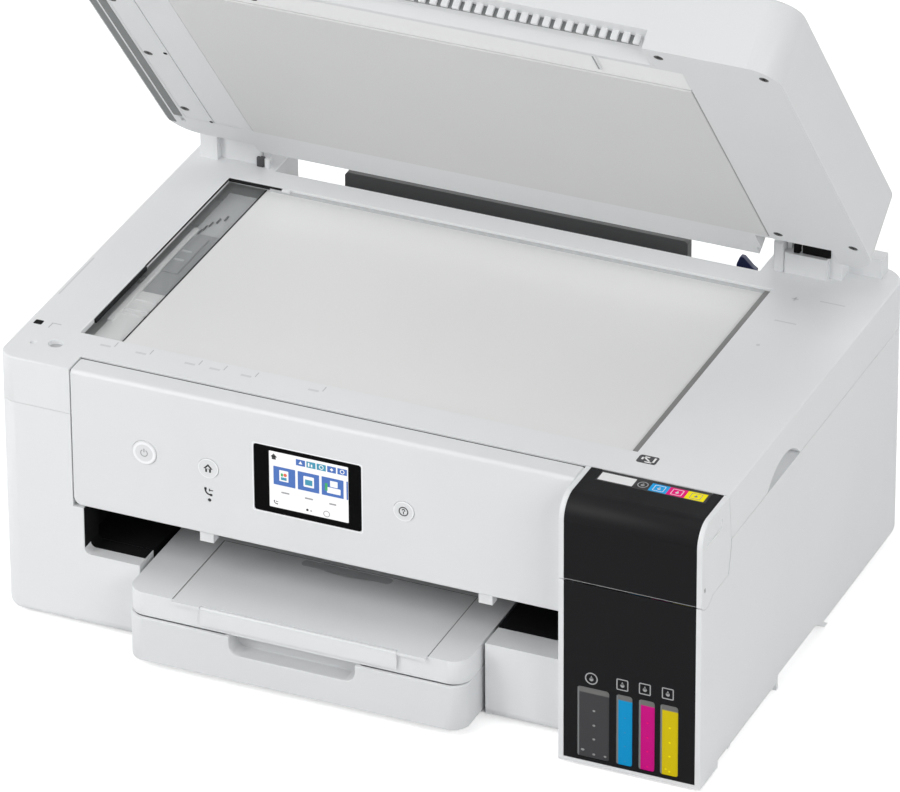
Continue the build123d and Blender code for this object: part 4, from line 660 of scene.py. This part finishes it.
def make_label_signs():
    face = LABEL_TOP
    done(top_patch("label_blank_field", (165.2, 188.4), (-144.8, -135.6), face, 0.04, 0.3), print_white, "tank_cover")
    rim = ring("label_black_badge", (194.1, -140.2, face), 3.5, 2.95, 0.1, "Z")
    mark = top_drop("label_black_drop", 194.1, -140.2, face, 3.6)
    done(join("label_black_badge", [rim, mark]), print_pale, "tank_cover")
    fields = ((199.2, 211.2, print_cyan), (211.2, 223.4, print_magenta), (223.4, 236.4, print_yellow))
    for name, (x0, x1, material) in zip(("cyan", "magenta", "yellow"), fields):
        done(top_patch("label_" + name + "_field", (x0, x1), (-145.2, -136.0), face, 0.04, 0.05), material,
             "tank_cover")
    signs = []
    for k, (x0, x1, material) in enumerate(fields[:2]):
        middle = (x0 + x1) / 2
        signs.append(hollow(top_patch("field_frame_" + str(k), (middle - 3.7, middle + 3.7), (-144.0, -137.2), face,
                                      0.055, 0.8), 0.45, "Z"))
        signs.append(top_drop("field_drop_" + str(k), middle, -140.6, face, 3.2))
    done(join("label_pale_signs", signs), print_white, "tank_cover")
    frame_y = hollow(top_patch("yellow_frame", (226.2, 233.6), (-144.0, -137.2), face, 0.055, 0.8), 0.45, "Z")
    drop_y = top_drop("yellow_drop", 229.9, -140.6, face, 3.2)
    done(join("label_dark_signs", [frame_y, drop_y]), print_grey, "tank_cover")
    done(front_patch("cover_low_edge", (156.7, 245.0), (135.55, 135.95), TANK_FACE - 0.02, 0.05, 0.05), print_grey,
         "tank_cover")
    # painted shade in the small slot on the tank cover's right side
    done(slab("cover_catch_slot_shade", (248.95, 249.0), (-172.6, -171.0), (144.2, 147.0), 0, 0.01, "X"), tape_and_shade_grey,
         "tank_cover")


# Scanner top

def make_bed_marks():
    """Moulded size marks along the front edge and small raised signs, drawn as flat patches of painted shade, the seal
    at the glass's right edge, and painted shadow lines and a painted highlight round the glass.
    """
    ticks = [top_patch("tick_" + str(k), (x - 0.35, x + 0.35), (-112.5, -106.6), TOP, 0.04, 0.1)
             for k, x in enumerate((-183, -158, -123.5, -106, -84, -37))]
    words = [top_patch("size_" + str(k), (x - 9.5, x - 2.2), (-114.6, -112.4), TOP, 0.03, 0.2)
             for k, x in enumerate((-183, -158, -123.5, -106, -84, -37))]
    done(join("size_ticks", ticks), light_grey, "scanner_unit")
    done(join("size_captions", words), shaded_white, "scanner_unit")
    faint = [top_patch("raised_cross_1", (191.6, 196.4), (115.6, 116.8), TOP, 0.03, 0.3),
             top_patch("raised_cross_2", (193.4, 194.6), (113.4, 118.8), TOP, 0.03, 0.3),
             top_patch("raised_line_1", (210, 227.4), (119.0, 120.2), TOP, 0.03, 0.3),
             top_patch("raised_line_2", (192, 207), (84.6, 86.0), TOP, 0.03, 0.3),
             disc("raised_dot", (194.4, 51, TOP - 0.02), 1.4, 0.1, "Z", 0, 16),
             top_patch("edge_line", (-246.6, -245.4), (-64, -12), TOP, 0.03, 0.3)]
    done(join("raised_signs", faint), shaded_white, "scanner_unit")
    plate = top_patch("corner_sign_plate", (178.6, 191.8), (-115.6, -106.0), TOP, 0.03, 1.8)
    done(plate, dark_grey, "scanner_unit")
    stem = top_patch("arrow_stem", (-3.4, 3.0), (-0.6, 0.6), TOP, 0.045, 0.1)
    stem.matrix_world = Matrix.Translation((0.1846, -0.1106, 0)) @ Matrix.Rotation(math.radians(-40), 4, "Z")
    settle(stem)
    sheet = [stem,
             top_patch("arrow_head_1", (180.8, 182.2), (-111.6, -107.4), TOP, 0.045, 0.1),
             top_patch("arrow_head_2", (180.8, 185.6), (-108.6, -107.4), TOP, 0.045, 0.1),
             top_patch("sheet_edge_1", (188.8, 190.2), (-114.4, -107.4), TOP, 0.045, 0.1),
             top_patch("sheet_edge_2", (184.0, 190.2), (-114.4, -113.2), TOP, 0.045, 0.1)]
    done(join("corner_sign_sheet", sheet), print_white, "scanner_unit")
    # dark seal along the right edge of the glass, painted shadow lines at its front and back, and a painted highlight
    # on the lip at its back and left edges
    seal = slab("glass_right_seal", (170.9, 175.45), (-103.9, 121.9), (188.3, 190.2), 0, 0.3, "Z")
    done(seal, tape_and_shade_grey, "scanner_unit")
    lines = [slab("back", (-181, 171), (120.9, 121.95), (188.3, 190.6), 0, 0.1, "Z"),
             slab("front", (-181, 171), (-103.95, -103.2), (188.3, 189.6), 0, 0.1, "Z")]
    done(join("glass_shadow_lines", lines), light_grey, "scanner_unit")
    lip_highlight = [top_patch("lip_back", (-168, 176.2), (122.2, 122.9), TOP, 0.05, 0.2),
           top_patch("lip_left", (-211.9, -211.3), (-103, 121), TOP, 0.05, 0.2)]
    done(join("glass_lip_highlight", lip_highlight), brightened_white, "scanner_unit")


def make_strip_parts():
    """What shows through the narrow glass: painted shade in its slot and along its edges, and the scanning carriage
    under it.
    """
    done(slab("strip_left_slot", (-211.0, -209.6), (-84, -8), (188.6, 191.4), 0, 0.1, "X"), deep_shadow,
         "scanner_unit")
    thin = [slab("left_far", (-210.99, -210.5), (-8, 121.5), (190.9, 191.9), 0, 0.1, "X"),
            slab("back", (-210.9, -170.5), (121.2, 121.98), (189.6, 191.9), 0, 0.1, "Y"),
            slab("joint", (-184.3, -183.7), (-103.8, 121.8), (188.2, 188.54), 0, 0.05, "Z")]
    done(join("strip_edge_lines", thin), deep_shadow, "scanner_unit")
    done(slab("strip_end_tab", (-172, -166), (119.4, 122.2), (190.6, 192.04), 0.1, 0.6, "Z"), white_case,
         "scanner_unit")
    pale = [slab("front_bed", (-208.6, -187.4), (-97.4, -26), (181.9, 183.6), 0.3, 0.5, "Z"),
            slab("front_wall", (-208.8, -204.8), (-70, 62), (183.0, 185.2), 0.3, 0.5, "Z")]
    pale += [slab("rib_" + str(y), (-205.0, -188.0), (y, y + 1.6), (183.2, 184.8), 0.1, 0.2, "Z")
             for y in (-58, -52, -39)]
    done(join("carriage_pale_tray", pale), brightened_white, "scan_carriage")
    dark = [slab("lens_box", (-204.6, -187.4), (-26, 58), (181.9, 183.8), 0.3, 0.6, "Z"),
            slab("lens_step", (-204.6, -193.0), (2, 52), (183.6, 184.9), 0.3, 0.8, "Z")]
    done(join("carriage_lens_box", dark), mid_grey, "scan_carriage")
    fins = [slab("fin_" + str(y), (-203.0, -196.0), (y, y + 2.2), (184.6, 185.2), 0.1, 0.2, "Z") for y in (18, 30)]
    done(join("carriage_fins", fins), light_grey, "scan_carriage")
    done(slab("carriage_far_bed", (-208.6, -187.4), (58, 117.4), (181.9, 183.4), 0.3, 0.8, "Z"), light_grey,
         "scan_carriage")
    lead = [slab("lead_" + str(k), (x - 0.5, x + 0.5), (y, y + 6.4), (183.6, 184.4), 0.1, 0, "Z")
            for k, (x, y) in enumerate(((-203.6, 57), (-202.8, 63), (-201.2, 69), (-198.6, 75), (-195.2, 80)))]
    done(join("carriage_lead", lead), deep_shadow, "scan_carriage")


def make_recess_shades_and_mark():
    # painted shade: black in the locating hole, grey on the dimple's floor, and dark sheets in the seams above and
    # beside the panel; the corner mark is a grey mark
    done(top_patch("locating_hole_shade", (-244.6, -238.8), (-105.2, -99.8), TOP, 0.04, 0.8), black_matte,
         "scanner_unit")
    done(disc("dimple_shade", (-219.3, -123.2, 189.25), 4.4, 0.16, "Z", 0.04), light_grey, "scanner_unit")
    corner = [top_patch("corner_mark_long", (-233.2, -226.6), (-100.6, -99.8), TOP, 0.03, 0.1),
              top_patch("corner_mark_short", (-233.2, -232.4), (-106.6, -100.2), TOP, 0.03, 0.1)]
    done(join("corner_mark", corner), light_grey, "scanner_unit")
    done(slab("panel_top_seam", (-196.8, 152.0), (-132.3, -131.9), (166, 190.7), 0, 0.05, "X"), deep_shadow,
         "scanner_unit")
    done(slab("panel_left_seam_low", (-197.36, -197.06), (-148.6, -134), (95.5, 158.6), 0, 0.05, "Z"), deep_shadow,
         "base")
    done(slab("panel_left_seam_high", (-197.36, -197.06), (-148.6, -134), (159.4, 190.4), 0, 0.05, "Z"),
         deep_shadow, "scanner_unit")


def make_hinge_details():
    # painted shade: black sheets in the well behind the right hinge, over its dark mechanism
    spring = [slab("spring_well", (185.6, 205.4), (149.0, 166.0), (206.9, 219.6), 0.4, 1.0, "Z"),
              slab("spring_peg", (180.0, 184.0), (148.0, 153.0), (206.9, 213.0), 0.3, 0.6, "Z")]
    done(join("hinge_spring_well_shade", spring), black_matte, "scanner_unit")
    done(slab("left_hinge_peg", (-195.6, -191.3), (143.2, 147.2), (191.9, 198.8), 0.6, 1.5, "Z"), white_case,
         "scanner_unit")
    done(slab("left_hinge_shadow", (-201.4, -195.8), (143.4, 147.4), (191.9, 198.6), 0.4, 1.2, "Z"), dark_grey,
         "scanner_unit")


# Open lid, drawn shut

def lid_under(name, x, y, face=LID_UNDER, proud=LINE_PROUD, corner=0.3):
    return slab(name, x, y, (face - proud, face + 0.12), 0, corner, "Z")


def make_lid_details():
    # painted shade: flat grey strips where two grooves run along the lid's left edge
    grooves = [lid_under("outer", (-248.0, -242.6), (-128, 126), corner=1.2),
               lid_under("inner", (-241.2, -234.9), (-128, 114), corner=1.0)]
    done(lid_turn(join("lid_groove_shade", grooves)), groove_shade_and_rim_grey, "lid")
    done(lid_turn(lid_under("lid_edge_lip", (-242.5, -241.3), (-128, 122), proud=0.12, corner=0.2)), shaded_lid_white, "lid")
    heads = [disc("head_1", (-215, 10, MAT_UNDER + 0.5), 1.5, 0.4, "Z", 0.1, 20),
             disc("head_2", (-214, 114.0, MAT_UNDER + 0.5), 1.3, 0.4, "Z", 0.1, 20)]
    done(lid_turn(join("backing_pins", heads)), deep_shadow, "lid")
    done(lid_turn(lid_under("mat_side_line", (180.05, 180.9), (-101, 115), proud=0.04, corner=0.05)), print_grey,
         "lid")
    channel = lid_under("mat_front_channel", (-183.6, 179.6), (-127.0, -101.6), LID_UNDER + 0.95, 0.05, 0.4)
    done(lid_turn(channel), brightened_white, "lid")


def make_grip_ribs():
    """Upright ribs inside the finger scoop at the lid's front edge, with the shade between them."""
    shade_band = slab("scoop_rib_shade", (-154.0, 154.4), (-146.6, -146.0), (197.8, 205.4), 0.1, 0, "Z", 2)
    done(lid_turn(shade_band), groove_shade_and_rim_grey, "lid")
    rib = slab("scoop_rib", (-153.4, -149.0), (-148.8, -146.4), (198.0, 205.6), 0.25, 0, "Z", 2)
    ribs = repeat(rib, [(7.6 * k, 0, 0) for k in range(1, 41)])
    done(lid_turn(join("scoop_ribs", ribs)), shaded_lid_white, "lid")
    done(lid_turn(slab("scoop_brace_shade", (119.2, 120.0), (-130.0, -108.0), (192.9, 196.0), 0.1, 0, "Z", 2)),
         mid_grey, "lid")
    done(lid_turn(slab("scoop_brace", (120.2, 121.8), (-130.0, -108.0), (192.9, 197.0), 0.2, 0, "Z", 2)), shaded_lid_white,
         "lid")


def make_hinge_covers():
    """The low housing beside the right hinge."""
    cover = slab("hinge_side_cover", (166.8, 173.9), (145.0, 171.0), (191.9, 214.0), 0.8, 2.2, "Z")
    done(cover, white_case, "scanner_unit")


dress_cad()
make_panel_signs()
make_display()
make_mouth_shade()
make_tray_lines()
make_tank_signs()
make_label_signs()
make_bed_marks()
make_strip_parts()
make_recess_shades_and_mark()
make_hinge_details()
make_lid_details()
make_grip_ribs()
make_hinge_covers()


# Camera, light and ground

def make_camera():
    data = bpy.data.cameras.new("photo_camera")
    data.lens = 339.8
    data.sensor_width = 36
    data.clip_start = 0.1
    data.clip_end = 60
    camera = bpy.data.objects.new("photo_camera", data)
    camera.location = (1.92066, -4.34605, 2.87174)
    camera.rotation_euler = [math.radians(a) for a in (60.0809, 0.3088, 23.6474)]
    bpy.context.scene.collection.objects.link(camera)
    bpy.context.scene.camera = camera


def make_light(name, place, aim, size, power):
    data = bpy.data.lights.new(name, "AREA")
    data.shape = "RECTANGLE"
    data.size = size[0]
    data.size_y = size[1]
    data.energy = power
    lamp = bpy.data.objects.new(name, data)
    lamp.location = place
    lamp.rotation_euler = (Vector(aim) - Vector(place)).to_track_quat("-Z", "Y").to_euler()
    bpy.context.scene.collection.objects.link(lamp)


def make_world():
    world = bpy.data.worlds.new("studio")
    bpy.context.scene.world = world
    world.use_nodes = True
    n = world.node_tree.nodes
    link = world.node_tree.links.new
    soft = n["Background"]
    soft.inputs["Color"].default_value = (0.97, 0.985, 1.0, 1)
    soft.inputs["Strength"].default_value = WORLD_LEVEL
    seen = n.new("ShaderNodeBackground")
    seen.inputs["Color"].default_value = (1, 1, 1, 1)
    seen.inputs["Strength"].default_value = 1.0
    rays = n.new("ShaderNodeLightPath")
    mix = n.new("ShaderNodeMixShader")
    seen_by = rays.outputs["Is Camera Ray"]
    for kind in ("Is Glossy Ray", "Is Transmission Ray"):
        either = n.new("ShaderNodeMath")
        either.operation = "MAXIMUM"
        link(seen_by, either.inputs[0])
        link(rays.outputs[kind], either.inputs[1])
        seen_by = either.outputs[0]
    link(seen_by, mix.inputs[0])
    link(soft.outputs[0], mix.inputs[1])
    link(seen.outputs[0], mix.inputs[2])
    link(mix.outputs[0], n["World Output"].inputs[0])


def make_floor():
    """A pale floor that the camera sees as white, with the printer's soft shadow on it."""
    clear_selection()
    bpy.ops.mesh.primitive_plane_add(size=9, location=(0, 0, 0))
    floor = bpy.context.object
    floor.name = "floor"
    material = bpy.data.materials.new("pale_floor")
    material.use_nodes = True
    n = material.node_tree.nodes
    link = material.node_tree.links.new
    bsdf = n["Principled BSDF"]
    bsdf.inputs["Base Color"].default_value = (0.86, 0.86, 0.86, 1)
    bsdf.inputs["Roughness"].default_value = 0.8
    bsdf.inputs["Emission Color"].default_value = (1, 1, 1, 1)
    rays = n.new("ShaderNodeLightPath")
    lift = n.new("ShaderNodeMath")
    lift.operation = "MULTIPLY"
    lift.inputs[1].default_value = FLOOR_LIFT
    link(rays.outputs["Is Camera Ray"], lift.inputs[0])
    link(lift.outputs[0], bsdf.inputs["Emission Strength"])
    floor.data.materials.append(material)


WORLD_LEVEL = 0.16
FLOOR_LIFT = 0.5
lamps = (
    ("key", (-1.6, -2.2, 2.6), (0, 0, 0.15), (1.8, 1.8), 37),
    ("near_left", (-1.3, -1.5, 0.9), (-0.1, 0, 0.15), (0.9, 0.9), 9),
    ("fill", (2.2, -1.6, 1.6), (0, 0, 0.15), (1.6, 1.6), 30),
    ("low_front", (0.3, -2.6, 0.5), (0, 0, 0.12), (2.0, 0.8), 1.5),
    ("top", (0.2, 0.3, 2.8), (0, 0, 0.15), (2.2, 2.2), 14),
    ("left", (-2.4, 0.2, 1.2), (0, 0, 0.15), (1.6, 1.6), 17),
    ("right", (2.6, 0.2, 0.9), (0, 0, 0.15), (1.6, 1.2), 7),
    ("rear", (0.4, 2.6, 1.2), (0, 0, 0.15), (1.8, 1.4), 18),
)

make_camera()
make_world()
make_floor()
for lamp_row in lamps:
    make_light(*lamp_row)
bpy.context.scene.view_settings.view_transform = "Standard"
